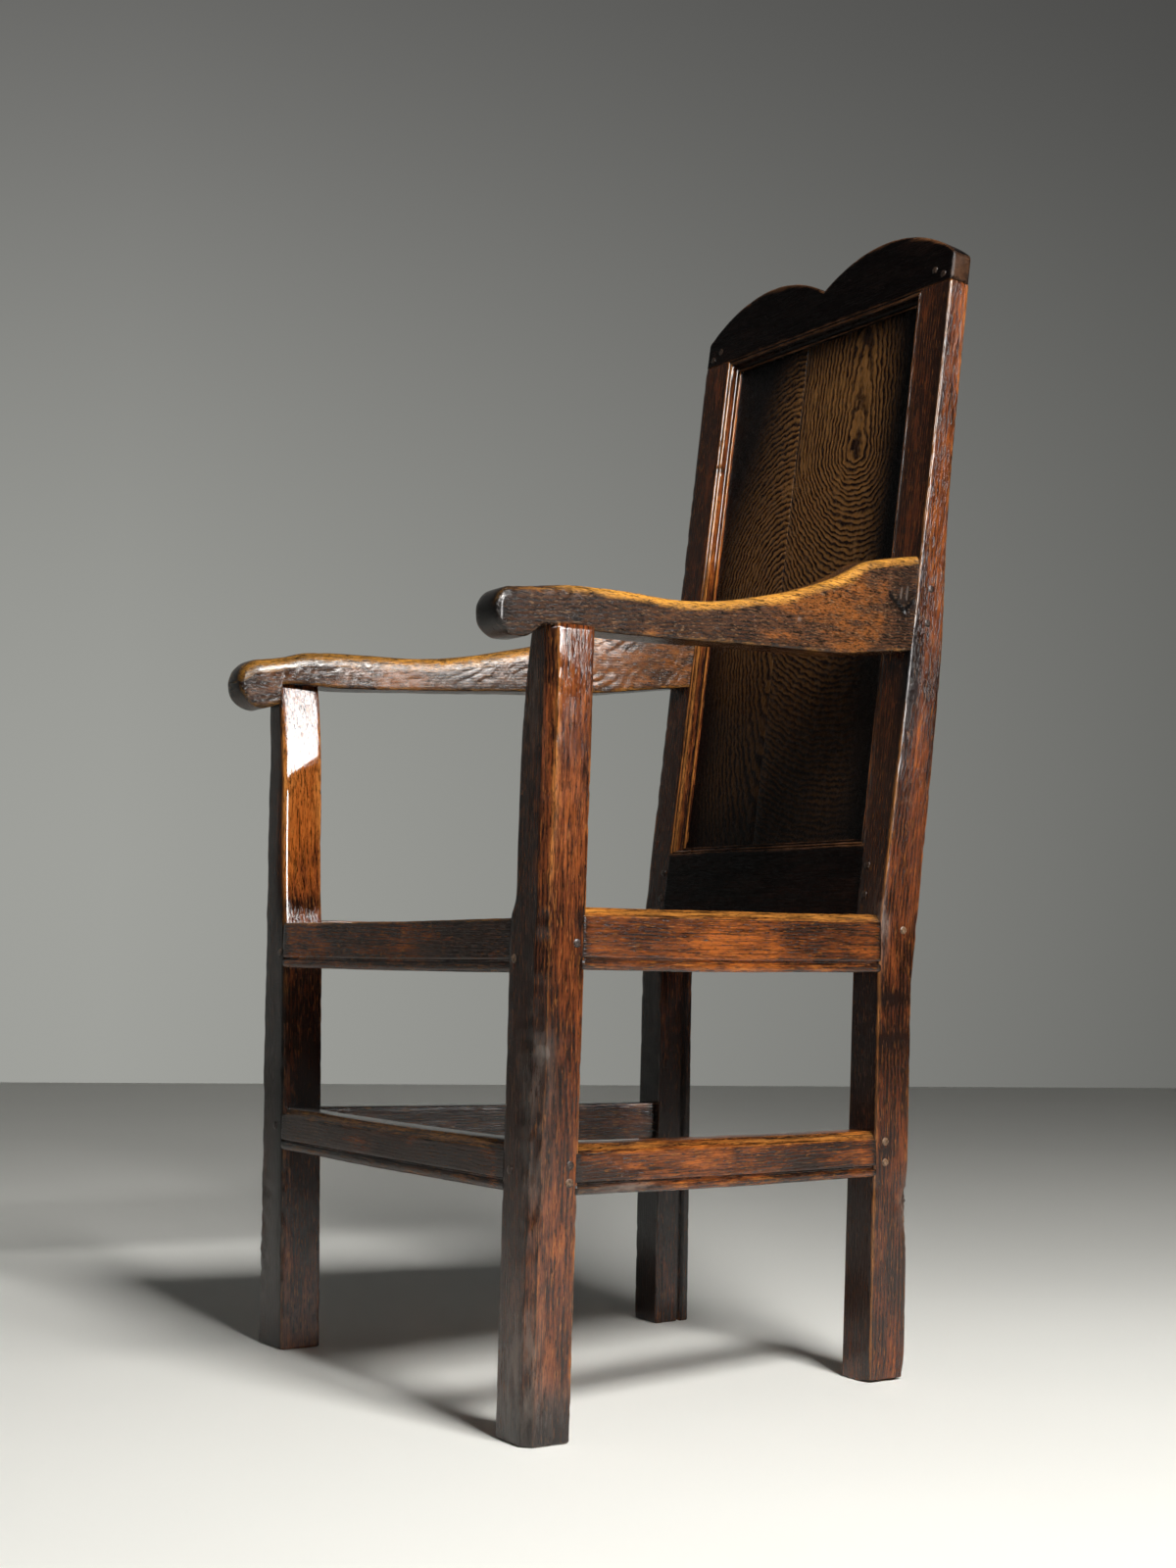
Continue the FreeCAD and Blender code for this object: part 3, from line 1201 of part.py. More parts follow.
os.makedirs("parts", exist_ok=True)
for piece in SUBPARTS:
    piece.Shape.exportStep(os.path.join("parts", f"{piece.Label}.step"))
    print(piece.Label, "solids", len(piece.Shape.Solids), "volume", round(piece.Shape.Volume))
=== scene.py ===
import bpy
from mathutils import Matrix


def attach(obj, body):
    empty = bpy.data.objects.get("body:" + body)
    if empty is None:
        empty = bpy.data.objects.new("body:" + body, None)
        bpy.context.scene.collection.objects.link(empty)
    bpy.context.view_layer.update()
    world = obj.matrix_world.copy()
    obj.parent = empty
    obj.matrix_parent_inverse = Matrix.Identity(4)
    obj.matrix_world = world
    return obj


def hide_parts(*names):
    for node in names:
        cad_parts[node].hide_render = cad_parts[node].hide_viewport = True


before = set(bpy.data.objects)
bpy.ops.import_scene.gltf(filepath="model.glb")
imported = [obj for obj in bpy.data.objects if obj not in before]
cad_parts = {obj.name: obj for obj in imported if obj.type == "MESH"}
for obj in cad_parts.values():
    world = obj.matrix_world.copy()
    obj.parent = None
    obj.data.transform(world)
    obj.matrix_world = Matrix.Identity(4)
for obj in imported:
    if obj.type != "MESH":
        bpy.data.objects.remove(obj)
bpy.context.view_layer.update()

import math

import bmesh
import bpy
import numpy as np
from mathutils import Matrix, Vector, noise

# Old oak armchair with a panelled back. Shapes are worked out in millimetres and written in metres.
# A section is drawn across a piece and swept along it. Its coordinates are (along, across, deep).

MM = 0.001

# Sizes that the pieces share, in millimetres

# Front legs: front and back face, outer face at the floor and its flare, inner faces at floor and seat
FRONT_Y, LEG_BACK_Y = -244.0, -200.0
FRONT_OUTER, FRONT_FLARE = 266.5, 17.7
FRONT_INNER_RIGHT, FRONT_INNER_LEFT, FRONT_INNER_SEAT = 219.0, 206.0, 226.5

# Rear legs and stiles: height of the kink, lean and length above it, faces at the floor and at the kink
KINK = 433.0
RAKE = math.radians(7.19)
SIN, COS, TAN = math.sin(RAKE), math.cos(RAKE), math.tan(RAKE)
STILE_UP = 663.0
STILE_TOP = KINK + STILE_UP * COS
REAR_OUTER, REAR_FLARE = 199.3, 10.2
REAR_INNER = 159.0
REAR_FOOT_Y, REAR_KINK_Y = 180.5, 186.5
HEEL_LOW, HEEL_TALL = 381.0, 52.0

# Back: moulding of the stiles and of the lower rail, sizes of that rail and of the crest, and the panel
MOULD_X = 165.0
MOULD_WIDE = 13.0
LOWER_UP, LOWER_MOULD = 83.0, 8.0
LOWER_FOOT, LOWER_THICK = 4.2, 30.0
CREST_HALF, CREST_THICK = 209.5, 25.0
PANEL_DEEP, PANEL_THICK = 12.15, 8.0

# Stretchers and the bevel along their tops, seat rails, their rebate, and the boards that lie in it
STRETCHER_THICK, BEVEL = 30.0, 7.0
RAIL_LOW, RAIL_THICK, REBATE = 390.0, 28.0, 12.0
SEAT_LEDGE, SEAT_TOP = 416.0, 428.0
BOARDS_FRONT, BOARDS_REAR, BOARD_GAP = -227.0, 201.5, 0.3
BOARD_NOTCH_FRONT, BOARD_NOTCH_REAR = LEG_BACK_Y + 1.0, 179.5

ARM_LOW, ARM_WIDE = 677.0, 39.0

# Pegs, and where those of the front legs are
PEG_RADIUS, PEG_SIDES = 3.9, 16
FRONT_PEG_X, FRONT_PEG_Y = 234.5, -208.5
FORWARD = (0, -1, 0)
OUT_OF_BACK = (0, -COS, SIN)

# Faces of the legs at a height

def front_outer(z):
    return FRONT_OUTER + FRONT_FLARE * z / ARM_LOW


def front_inner(side, z):
    foot = FRONT_INNER_RIGHT if side > 0 else FRONT_INNER_LEFT
    return foot + (FRONT_INNER_SEAT - foot) * z / KINK


def rear_outer(z):
    return REAR_OUTER + REAR_FLARE * z / STILE_TOP


def rear_inner(z):
    return REAR_INNER + (MOULD_X - REAR_INNER) * z / KINK


def rear_front(z):
    return REAR_FOOT_Y + (REAR_KINK_Y - REAR_FOOT_Y) * z / KINK


def back_front(z):
    return REAR_KINK_Y + (z - KINK) * TAN


def side_line(y, z):
    """Outer face of a side rail, straight from the front leg to the rear one."""
    share = (y - LEG_BACK_Y) / (rear_front(z) - LEG_BACK_Y)
    return front_outer(z) + (rear_outer(z) - front_outer(z)) * share


def raked(across, up, deep):
    """A place in the leaning frame of the back."""
    return (across, REAR_KINK_Y + up * SIN + deep * COS, KINK + up * COS - deep * SIN)


def smooth_line(value, points):
    """A smooth curve through (place, value) points, read at one place."""
    places = [p[0] for p in points]
    if value <= places[0]:
        return points[0][1]
    if value >= places[-1]:
        return points[-1][1]
    i = int(np.searchsorted(places, value)) - 1
    (x1, y1), (x2, y2) = points[i], points[i + 1]
    x0, y0 = points[i - 1] if i else (2 * x1 - x2, 2 * y1 - y2)
    x3, y3 = points[i + 2] if i + 2 < len(points) else (2 * x2 - x1, 2 * y2 - y1)
    m1 = (y2 - y0) / (x2 - x0) * (x2 - x1)
    m2 = (y3 - y1) / (x3 - x1) * (x2 - x1)
    t = (value - x1) / (x2 - x1)
    t2, t3 = t * t, t * t * t
    return (2 * t3 - 3 * t2 + 1) * y1 + (t3 - 2 * t2 + t) * m1 + (3 * t2 - 2 * t3) * y2 + (t3 - t2) * m2


def spread(*limits):
    """Stations along a piece: each limit is (place, step up to the next one)."""
    out = []
    for (first, step), (last, _) in zip(limits, limits[1:]):
        count = max(1, round((last - first) / step))
        out += [first + (last - first) * k / count for k in range(count)]
    return out + [limits[-1][0]]


def clamp(value, low=0.0, high=1.0):
    return max(low, min(high, value))


def rnd(*values):
    """A smooth random number for a place."""
    return noise.noise(Vector(values + (0.0,) * (3 - len(values))))


# Sections

CUTS = (0.05, 0.13, 0.28, 0.5, 0.72, 0.87, 0.95)
ARC_SHARES = (0.0, 1 / 3, 2 / 3, 1.0)
WEAR_REACH = 5.0


def corner(across, deep, radius=2.0, wear=1.0, cuts=CUTS):
    """A rounded corner with a divided side after it."""
    return (across, deep, radius, wear, len(ARC_SHARES), cuts)


def point(across, deep, wear=0.0, cuts=()):
    """A plain point of a section."""
    return (across, deep, 0.0, wear, 1, cuts)


def ring(corners):
    """The places of one closed section, and how near each is to a worn edge."""
    count = len(corners)
    arcs = []
    for i, (across, deep, radius, wear, steps, _) in enumerate(corners):
        here = np.array((across, deep), float)
        if steps == 1:
            arcs.append([here])
            continue
        back = np.array(corners[i - 1][:2], float) - here
        ahead = np.array(corners[(i + 1) % count][:2], float) - here
        long_back, long_ahead = np.linalg.norm(back) + 1e-9, np.linalg.norm(ahead) + 1e-9
        turn = math.acos(clamp(back @ ahead / (long_back * long_ahead), -1.0))
        reach = min(radius / math.tan(max(turn, 0.05) / 2), 0.45 * long_back, 0.45 * long_ahead)
        first = here + back / long_back * reach
        last = here + ahead / long_ahead * reach
        arc = []
        for s in ARC_SHARES:
            arc.append((1 - s) ** 2 * first + 2 * s * (1 - s) * here + s * s * last)
        arcs.append(arc)
    places, edge = [], []
    for i, (_, _, _, wear, steps, cuts) in enumerate(corners):
        following = (i + 1) % count
        places += arcs[i]
        edge += [wear] if steps == 1 else [wear * 0.75, wear, wear, wear * 0.75]
        first, last = arcs[i][-1], arcs[following][0]
        length = np.linalg.norm(last - first)
        for t in cuts:
            places.append(first + (last - first) * t)
            near = wear * math.exp(-t * length / WEAR_REACH)
            far = corners[following][3] * math.exp(-(1 - t) * length / WEAR_REACH)
            edge.append(0.75 * max(near, far))
    return np.array(places), np.array(edge)


def end_inset(near, radius):
    """How far a section draws in near a rounded end of its piece."""
    if near >= radius:
        return 0.0
    return radius - math.sqrt(max(0.0, radius * radius - (radius - near) ** 2))


def nearness(p, centre, size):
    """1 at a mark and 0 far from it; a mark is a spot, or a line between two points."""
    if isinstance(centre[0], tuple):
        first, last = Vector(centre[0]), Vector(centre[1])
        run = last - first
        share = clamp((p - first).dot(run) / run.length_squared)
        centre = first + run * share
    away = p - Vector(centre)
    return math.exp(-sum((away[k] / size[k]) ** 2 for k in range(3)))


def loft(name, stations, section, place, pith, slot, round_ends=(0.0, 0.0), seed=0.0, marks=(),
         undulate=0.45, nicks=1.0, grain=None, joint_shade=0.0, front_shade=0.0, relief=None):
    """Sweeps a section along its stations and gives each vertex its grain and finish.

    pith is where the middle of the tree lies in the section, unless grain gives each point its own place.
    A mark is (centre, size, kind, amount). The finish is how worn, how dark and how grey a point is.
    """
    rings, edges, local = [], [], []
    for t in stations:
        places, edge = ring(section(t))
        ends = ((t - stations[0], round_ends[0]), (stations[-1] - t, round_ends[1]))
        inset = max(end_inset(*end) for end in ends)
        if inset:
            middle = (places.min(0) + places.max(0)) / 2
            half = (places.max(0) - places.min(0)) / 2 + 1e-6
            places = middle + (places - middle) * np.clip(1 - inset / half, 0.05, 1)
        for near, radius in ends:
            if radius > 1.0:
                edge = np.maximum(edge, 0.8 * math.exp(-near / 4.0))
        rings.append([place(t, a, d) for a, d in places])
        local += [(t, a, d) for a, d in places]
        edges += list(edge)
    wide = len(rings[0])
    verts = [Vector(p) for one in rings for p in one]
    faces = []
    for i in range(len(rings) - 1):
        for j in range(wide):
            k = (j + 1) % wide
            faces.append((i * wide + j, i * wide + k, (i + 1) * wide + k, (i + 1) * wide + j))
    faces.append(tuple(range(wide))[::-1])
    faces.append(tuple(range((len(rings) - 1) * wide, len(rings) * wide)))
    mesh = bpy.data.meshes.new(name)
    mesh.from_pydata([p * MM for p in verts], [], faces)
    mesh.update()
    work = bmesh.new()
    work.from_mesh(mesh)
    bmesh.ops.recalc_face_normals(work, faces=work.faces)
    work.to_mesh(mesh)
    work.free()
    mesh.update()
    finish = np.zeros((len(verts), 3))
    along = np.zeros((len(verts), 3))
    out = np.zeros((len(verts), 3))
    first, last = stations[0], stations[-1]
    for i, p in enumerate(verts):
        t, a, d = local[i]
        normal = mesh.vertices[i].normal
        edge = edges[i]
        # Faces turned to the front are darkened here: painted shade on the side away from the lamps.
        felt = {"wear": edge, "dark": front_shade * max(0.0, -normal.y), "grey": 0.0}
        # Darker towards both ends of a piece, where it meets the next one: painted shade in the joint.
        if joint_shade:
            felt["dark"] += joint_shade * math.exp(-min(t - first, last - t) / WEAR_REACH)
        shift = undulate * rnd(t / 75 + seed, a / 38, d / 38 + seed)
        shift += 0.35 * undulate * rnd(t / 19 + seed, a / 9, d / 9 - seed)
        bite = rnd(t / 11 + 3 * seed, a / 14, d / 14) - 0.12
        shift -= edge * edge * nicks * (0.25 + 1.5 * max(0.0, bite))
        if relief:
            shift += relief(p, normal)
        for centre, size, kind, amount in marks:
            fall = amount * nearness(p, centre, size)
            if kind in felt:
                felt[kind] += fall
            elif kind == "dent":
                shift -= fall
            elif kind == "rough":
                shift -= fall * (0.5 + rnd(t / 6, a / 3, d / 3))
        finish[i] = tuple(felt.values())
        g = grain(t, a, d) if grain else (t, a - pith[0], d - pith[1])
        along[i] = (g[0] + 900 * seed, g[1], g[2])
        out[i] = p + normal * shift
    mesh.vertices.foreach_set("co", (out * MM).astype(np.float32).ravel())
    give(mesh, "grain", along * MM)
    give(mesh, "finish", finish)
    piece(name, mesh, slot)


def give(mesh, name, values):
    """Stores a vector for each vertex, which the material reads."""
    attribute = mesh.attributes.new(name, "FLOAT_VECTOR", "POINT")
    attribute.data.foreach_set("vector", values.astype(np.float32).ravel())


def add_object(name, data):
    made = bpy.data.objects.new(name, data)
    bpy.context.scene.collection.objects.link(made)
    return made


def piece(name, mesh, slot):
    """Adds a piece of the chair, which stands for the CAD node of the same name."""
    for polygon in mesh.polygons:
        polygon.use_smooth = True
    mesh.update()
    mesh.materials.append(MATERIALS[slot])
    made = add_object(name, mesh)
    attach(made, "root")
    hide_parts(name)


# Materials

class Nodes:
    """A material under construction."""

    def __init__(self, name):
        self.material = bpy.data.materials.new(name)
        self.material.use_nodes = True
        self.tree = self.material.node_tree
        self.tree.nodes.clear()

    def add(self, kind, inputs=(), **settings):
        node = self.tree.nodes.new(kind)
        for key, value in settings.items():
            setattr(node, key, value)
        for key, value in dict(inputs).items():
            if isinstance(value, bpy.types.NodeSocket):
                self.tree.links.new(value, node.inputs[key])
            else:
                node.inputs[key].default_value = value
        return node

    def math(self, operation, *values, clamp=False):
        inputs = dict(enumerate(values))
        return self.add("ShaderNodeMath", inputs, operation=operation, use_clamp=clamp).outputs[0]

    def times(self, first, second, clamp=False):
        return self.math("MULTIPLY", first, second, clamp=clamp)

    def line(self, value, factor, offset, clamp=False):
        """A value times a factor, plus an offset."""
        return self.math("MULTIPLY_ADD", value, factor, offset, clamp=clamp)

    def stretch(self, vector, factors):
        return self.add("ShaderNodeVectorMath", {0: vector, 1: factors}, operation="MULTIPLY").outputs[0]

    def noise(self, vector, factors, detail=2.0, rough=0.5):
        inputs = {"Vector": self.stretch(vector, factors), "Scale": 1.0, "Detail": detail, "Roughness": rough}
        return self.add("ShaderNodeTexNoise", inputs).outputs[0]

    def ramp(self, value, low, high):
        inputs = {0: value, 1: low, 2: high, 3: 0.0, 4: 1.0}
        return self.add("ShaderNodeMapRange", inputs, interpolation_type="SMOOTHSTEP").outputs[0]

    def mix(self, factor, first, second):
        colours = [c if isinstance(c, bpy.types.NodeSocket) else (*c, 1.0) for c in (first, second)]
        inputs = {0: factor, 6: colours[0], 7: colours[1]}
        return self.add("ShaderNodeMix", inputs, data_type="RGBA").outputs[2]

    def finished(self, shader):
        self.add("ShaderNodeOutputMaterial", {0: shader.outputs[0]})
        return self.material

    def along(self, vector, direction):
        """How far a place lies along a direction."""
        inputs = {0: vector, 1: tuple(direction)}
        return self.add("ShaderNodeVectorMath", inputs, operation="DOT_PRODUCT").outputs["Value"]


def oak(slot, deep, body, glow, gold, fleck_tint=None, ring_wide=3.0, ring_depth=0.2, warp=3.0, wavy=0.5,
        pores=0.85, roughness=0.27, wear_bias=0.0, flecks=0.3, streaks=0.8, contrast=1.0, polish=0.5):
    """Waxed oak: mottled heartwood, growth rings, streaks, open pores, worn edges, and darker places, part of
    them painted shade.
    """
    n = Nodes(slot)
    grain = n.add("ShaderNodeAttribute", attribute_name="grain").outputs["Vector"]
    finish = n.add("ShaderNodeAttribute", attribute_name="finish").outputs["Vector"]
    parts = n.add("ShaderNodeSeparateXYZ", {0: finish}).outputs
    wear, dark, grey = parts[0], parts[1], parts[2]
    place = n.stretch(grain, (1000.0, 1000.0, 1000.0))
    xyz = n.add("ShaderNodeSeparateXYZ", {0: place}).outputs
    slow = n.noise(place, (0.005, 0.016, 0.016), 2.0)
    wave = n.noise(place, (0.085, 0.085, 0.085), 1.0)
    square = n.times(xyz[1], xyz[1])
    away = n.math("SQRT", n.math("ADD", square, n.times(xyz[2], xyz[2])))
    away = n.line(slow, 4.0 * warp, away)
    away = n.line(wave, 4.0 * wavy, away)
    turn = n.math("FRACT", n.math("DIVIDE", away, ring_wide))
    late = n.times(n.ramp(turn, 0.18, 0.66), n.ramp(turn, 1.0, 0.84))
    early = n.math("SUBTRACT", 1.0, late)
    fibre = n.noise(place, (0.045, 0.85, 0.85), 3.0, 0.65)
    streak = n.ramp(n.noise(place, (0.012, 0.52, 0.52), 4.0, 0.7), 0.49, 0.62)
    thread = n.ramp(n.noise(place, (0.026, 0.95, 0.95), 3.0, 0.6), 0.52, 0.62)
    vessel = n.ramp(n.noise(place, (0.10, 1.25, 1.25), 2.0, 0.6), 0.54, 0.62)
    fleck = n.ramp(n.noise(place, (0.075, 0.80, 0.80), 2.0, 0.5), 0.60, 0.68)
    patch = n.noise(place, (0.026, 0.105, 0.105), 5.0, 0.68)
    broad = n.noise(place, (0.006, 0.020, 0.020), 3.0, 0.55)
    spotted = 2.3 * contrast
    tone = n.line(patch, spotted, n.line(broad, spotted, 0.5 - spotted))
    # The dark value, which also carries painted shade, lowers the tone here and pulls the colour towards
    # black below.
    tone = n.line(dark, -1.2, tone)
    colour = n.mix(n.ramp(tone, 0.05, 0.60), deep, body)
    colour = n.mix(n.ramp(tone, 0.45, 1.15), colour, glow)
    figure = n.math("SUBTRACT", 1.0, dark, clamp=True)
    colour = n.mix(n.times(n.times(late, figure), ring_depth), colour, glow)
    worn = n.line(patch, 1.9, n.line(wear, 1.7, wear_bias - 1.9))
    worn = n.times(worn, 1.0, clamp=True)
    colour = n.mix(n.times(worn, 0.85), colour, gold)
    shadow = tuple(0.22 * c for c in deep)
    colour = n.mix(n.times(streak, streaks), colour, shadow)
    colour = n.mix(n.times(thread, 0.6 * streaks), colour, shadow)
    colour = n.mix(n.times(fleck, flecks), colour, fleck_tint or gold)
    open_pore = n.times(vessel, n.line(early, 0.5, 0.5))
    colour = n.mix(n.times(open_pore, pores), colour, tuple(0.12 * c for c in deep))
    # Grey marks pale the colour: scratches and worn grey wood, and in a few places painted sheen and glints.
    bloom_and_sheen = n.times(grey, n.ramp(patch, 0.36, 0.62), clamp=True)
    colour = n.mix(bloom_and_sheen, colour, (0.17, 0.14, 0.12))
    black = n.math("SUBTRACT", dark, 0.12, clamp=True)
    colour = n.mix(black, colour, (0.004, 0.0035, 0.0035))
    rough = n.line(fibre, 0.14, roughness - 0.07)
    rough = n.line(patch, 0.16, n.math("SUBTRACT", rough, 0.08))
    rough = n.line(grey, 0.2, rough, clamp=True)
    height = n.line(open_pore, -0.35, n.times(late, 0.15))
    height = n.line(patch, 0.22, height)
    height = n.line(fibre, 0.08, height)
    height = n.line(streak, -0.14, height)
    relief = n.times(n.math("ADD", 1.0, grey, clamp=True), 0.5)
    bump = n.add("ShaderNodeBump", {"Height": height, "Strength": relief, "Distance": 0.0005})
    inputs = {"Base Color": colour, "Roughness": rough, "Normal": bump.outputs[0],
              "Specular IOR Level": polish}
    return n.finished(n.add("ShaderNodeBsdfPrincipled", inputs))


FINISHES = {
    "oak_posts": dict(deep=(0.028, 0.01, 0.006), body=(0.135, 0.034, 0.011), glow=(0.36, 0.095, 0.017),
                      gold=(0.52, 0.20, 0.045), roughness=0.17, streaks=0.75),
    # The arms' gold, on their worn tops and edges, is brighter than worn oak: partly painted highlight.
    "oak_arms": dict(deep=(0.026, 0.016, 0.012), body=(0.070, 0.034, 0.019), glow=(0.24, 0.080, 0.018),
                     gold=(0.78, 0.355, 0.055), fleck_tint=(0.25, 0.15, 0.08), flecks=0.6, contrast=1.3,
                     roughness=0.20, polish=0.4),
    "oak_seat": dict(deep=(0.055, 0.022, 0.012), body=(0.13, 0.052, 0.022), glow=(0.22, 0.10, 0.035),
                     gold=(0.36, 0.18, 0.06), ring_wide=4.2, ring_depth=0.5, warp=7.0, wavy=1.0, streaks=0.5),
    "oak_panel": dict(deep=(0.01, 0.004, 0.003), body=(0.024, 0.01, 0.005), glow=(0.24, 0.112, 0.034),
                      gold=(0.20, 0.11, 0.04), ring_wide=5.2, ring_depth=0.95, warp=2.5, wavy=1.7, pores=0.5,
                      flecks=0.0, streaks=0.35, contrast=0.8, polish=0.12),
    # The back frame's gold, on its worn edges and mouldings, is partly painted highlight.
    "oak_back_frame": dict(deep=(0.002, 0.001, 0.001), body=(0.006, 0.003, 0.0025),
                           glow=(0.020, 0.008, 0.005), gold=(0.26, 0.11, 0.045), flecks=0.0, streaks=0.5,
                           wear_bias=0.15, polish=0.12),
    "oak_rails": dict(deep=(0.030, 0.012, 0.007), body=(0.135, 0.037, 0.010), glow=(0.38, 0.10, 0.014),
                      gold=(0.60, 0.25, 0.045), streaks=0.75, roughness=0.19, contrast=1.2),
    "oak_pegs": dict(deep=(0.020, 0.011, 0.008), body=(0.04, 0.022, 0.014), glow=(0.07, 0.04, 0.024),
                     gold=(0.52, 0.30, 0.15), wear_bias=-0.2, flecks=0.0, streaks=0.3),
}
MATERIALS = {slot: oak(slot, **finish) for slot, finish in FINISHES.items()}


# Legs

def front_leg(side, name, marks):
    """A front leg with its arm support; the left support is twisted near its top."""
    if side > 0:
        support = [(436, 228.0), (449, 234.0), (500, 235.6), (600, 240.0), (640, 245.2), (679, 252.8)]
    else:
        support = [(440, 228.6), (500, 233.8), (560, 236.3), (600, 240.4), (640, 246.3), (679, 252.8)]
    inner_line = [(z, front_inner(side, z)) for z in (0, 200, 425)] + support
    twist, yaw, soft = (0.0, 0.0, 1.8) if side > 0 else (5.0, 1.5, 3.5)

    def section(z):
        outer = front_outer(z)
        turned = clamp((z - 570) / 45)
        inner = smooth_line(z + twist * turned, inner_line)
        inner_back = smooth_line(z - twist * turned, inner_line) + yaw * (1 - turned)
        worn = 8.0 + 2.6 * rnd(z / 42, side * 3.3) + 1.2 * rnd(z / 13, side * 1.7)
        return [
            corner(inner, FRONT_Y, soft, 0.7),
            corner(outer - worn, FRONT_Y, 2.0, 0.55),
            corner(outer, FRONT_Y + worn, 2.0, 0.75),
            corner(outer, LEG_BACK_Y, 1.8, 0.9),
            corner(inner_back, LEG_BACK_Y, 1.8, 0.7),
        ]

    def place(z, across, deep):
        return (side * across, deep, z)

    stations = spread((0, 0.6), (3, 3), (9, 5), (425, 4), (452, 5), (679, 1))
    # The second value darkens the faces turned to the front: painted shade.
    seed, front_shade, undulate = (0.7, 0.4, 0.45) if side > 0 else (1.9, 0.65, 0.2)
    loft(name, stations, section, place, (150.0, -300.0), "oak_posts", round_ends=(2.5, 0.4), seed=seed,
         marks=marks, front_shade=front_shade, nicks=1.3, undulate=undulate)


# The moulded edge as (inward share, depth, wear): quirk, bead, hollow and fillet

MOULD = (
    (0.0, 0.0, 0.8), (0.03, 0.12, 0.9), (0.06, 0.5, 0.8), (0.075, 1.4, 0.1), (0.12, 1.8, 0.0),
    (0.16, 1.1, 0.2), (0.23, 0.6, 0.7), (0.32, 0.7, 0.9), (0.40, 1.4, 0.7), (0.47, 2.9, 0.3),
    (0.51, 5.0, 0.0), (0.56, 7.2, 0.0), (0.64, 8.7, 0.0), (0.74, 9.3, 0.1), (0.82, 9.0, 0.4),
    (0.88, 8.6, 0.9), (0.93, 8.7, 0.9), (0.97, 9.2, 0.8), (1.0, 10.2, 0.3), (1.0, 13.0, 0.0),
)


def mould(share):
    """The moulded edge, cut off at a share of its width."""
    return [(min(inward, share), deep, wear) for inward, deep, wear in MOULD]


def rear_stile(side, name, marks):
    """A rear leg and the stile above it, bent at the kink; t is the length along both."""
    depth_line = [(0, 48.0), (140, 45.6), (282, 42.0), (360, 36.0), (440, 30.3), (550, 27.6), (663, 25.5)]

    def section(t):
        up = t - KINK
        if up < 0:
            outer, inner = rear_outer(t), rear_inner(t)
            heel = clamp((t - HEEL_LOW) / HEEL_TALL)
            depth = 44.5 + (43.0 - 44.5) * min(1.0, t / HEEL_LOW) + 5.0 * heel
            share = 0.0
        else:
            outer, inner = rear_outer(KINK + up * COS), MOULD_X
            depth = smooth_line(up, depth_line)
            share = clamp((up - LOWER_UP) / LOWER_MOULD)
            if up > STILE_UP - MOULD_WIDE:
                share = max(0.0, (STILE_UP - up) / MOULD_WIDE)
        groove = 8.0 if t < 389.0 else 0.0
        inside = inner - share * MOULD_WIDE
        out = [
            corner(outer, 0.0, 2.0, 0.95),
            corner(outer, depth, 3.2, 0.8),
            corner(inside, depth, 2.0, 0.6),
            point(inside, 37.0), point(inside + groove, 37.0),
            point(inside + groove, 29.0), point(inside, 29.0, cuts=(0.3, 0.7)),
        ]
        if depth < 38.0:
            out[3:7] = [point(inside, depth - 4 - 0.5 * k) for k in range(3)] + [
                point(inside, depth - 6.0, cuts=(0.3, 0.7))]
        for inward, deep, wear in reversed(mould(share)):
            out.append(point(inner - inward * MOULD_WIDE, deep, wear if share or deep == 0.0 else 0.0))
        out[-1] = point(*out[-1][:2], 0.8, CUTS)
        return out

    def place(t, across, deep):
        up = t - KINK
        if up >= 0:
            x, y, z = raked(across, up, deep)
            return (side * x, y, z)
        lean = max(0.0, (t - HEEL_LOW) / HEEL_TALL)
        return (side * across, rear_front(t) + deep * (1 + (COS - 1) * lean), t - deep * SIN * lean)

    top = KINK + STILE_UP
    stations = spread((0, 0.6), (3, 3), (9, 5), (385, 2), (393, 6), (KINK + LOWER_UP, 1.6),
                      (KINK + LOWER_UP + LOWER_MOULD, 5), (top - MOULD_WIDE, 1.6), (top, 1))
    loft(name, stations, section, place, (110.0, -60.0), "oak_posts", round_ends=(2.2, 0.4),
         seed=2.6 if side > 0 else 3.4, marks=marks, front_shade=0.3, nicks=1.3, undulate=0.28)


# Rails and stretchers

BEAD = ((8.5, 2.4), (8.3, 0.9), (7.2, 0.1), (5.6, -0.25), (3.8, -0.2), (2.2, 0.1), (0.9, 0.9), (0.15, 2.2))


def rail_section(low, high, thick, bevel, ledge=0.0):
    """Section of a rail as (height, depth from the face): bevelled top, quirk and bead."""
    if bevel:
        out = [corner(high, bevel, 2.0, 1.0, cuts=()), point(high - 0.5 * bevel, 0.5 * bevel, 1.0),
               corner(high - bevel, 0.0, 1.6, 0.8)]
    else:
        out = [corner(high, 0.5, 2.0, 1.0, cuts=()), point(high - 1.5, 0.25, 0.9),
               corner(high - 2.6, 0.0, 1.0, 0.5)]
    out += [point(low + 11.2, 0.0, 0.5), point(low + 10.9, 0.5, 0.1), point(low + 10.5, 2.3),
            point(low + 8.8, 2.5)]
    for up, deep in BEAD:
        out.append(point(low + up, deep, 0.55 if deep < 0.5 else 0.1))
    out[-1] = point(low + 0.15, 2.2, 0.5, cuts=(0.1, 0.5, 0.9))
    out.append(corner(low, thick, 1.5, 0.4, cuts=(0.2, 0.5, 0.8)))
    if ledge:
        out += [point(ledge, thick, cuts=(0.5,)), point(ledge, thick - REBATE, cuts=(0.5,)),
                corner(high, thick - REBATE, 1.5, 0.6, cuts=(0.5,))]
    else:
        out.append(corner(high, thick, 1.8, 0.7, cuts=(0.5,)))
    return out


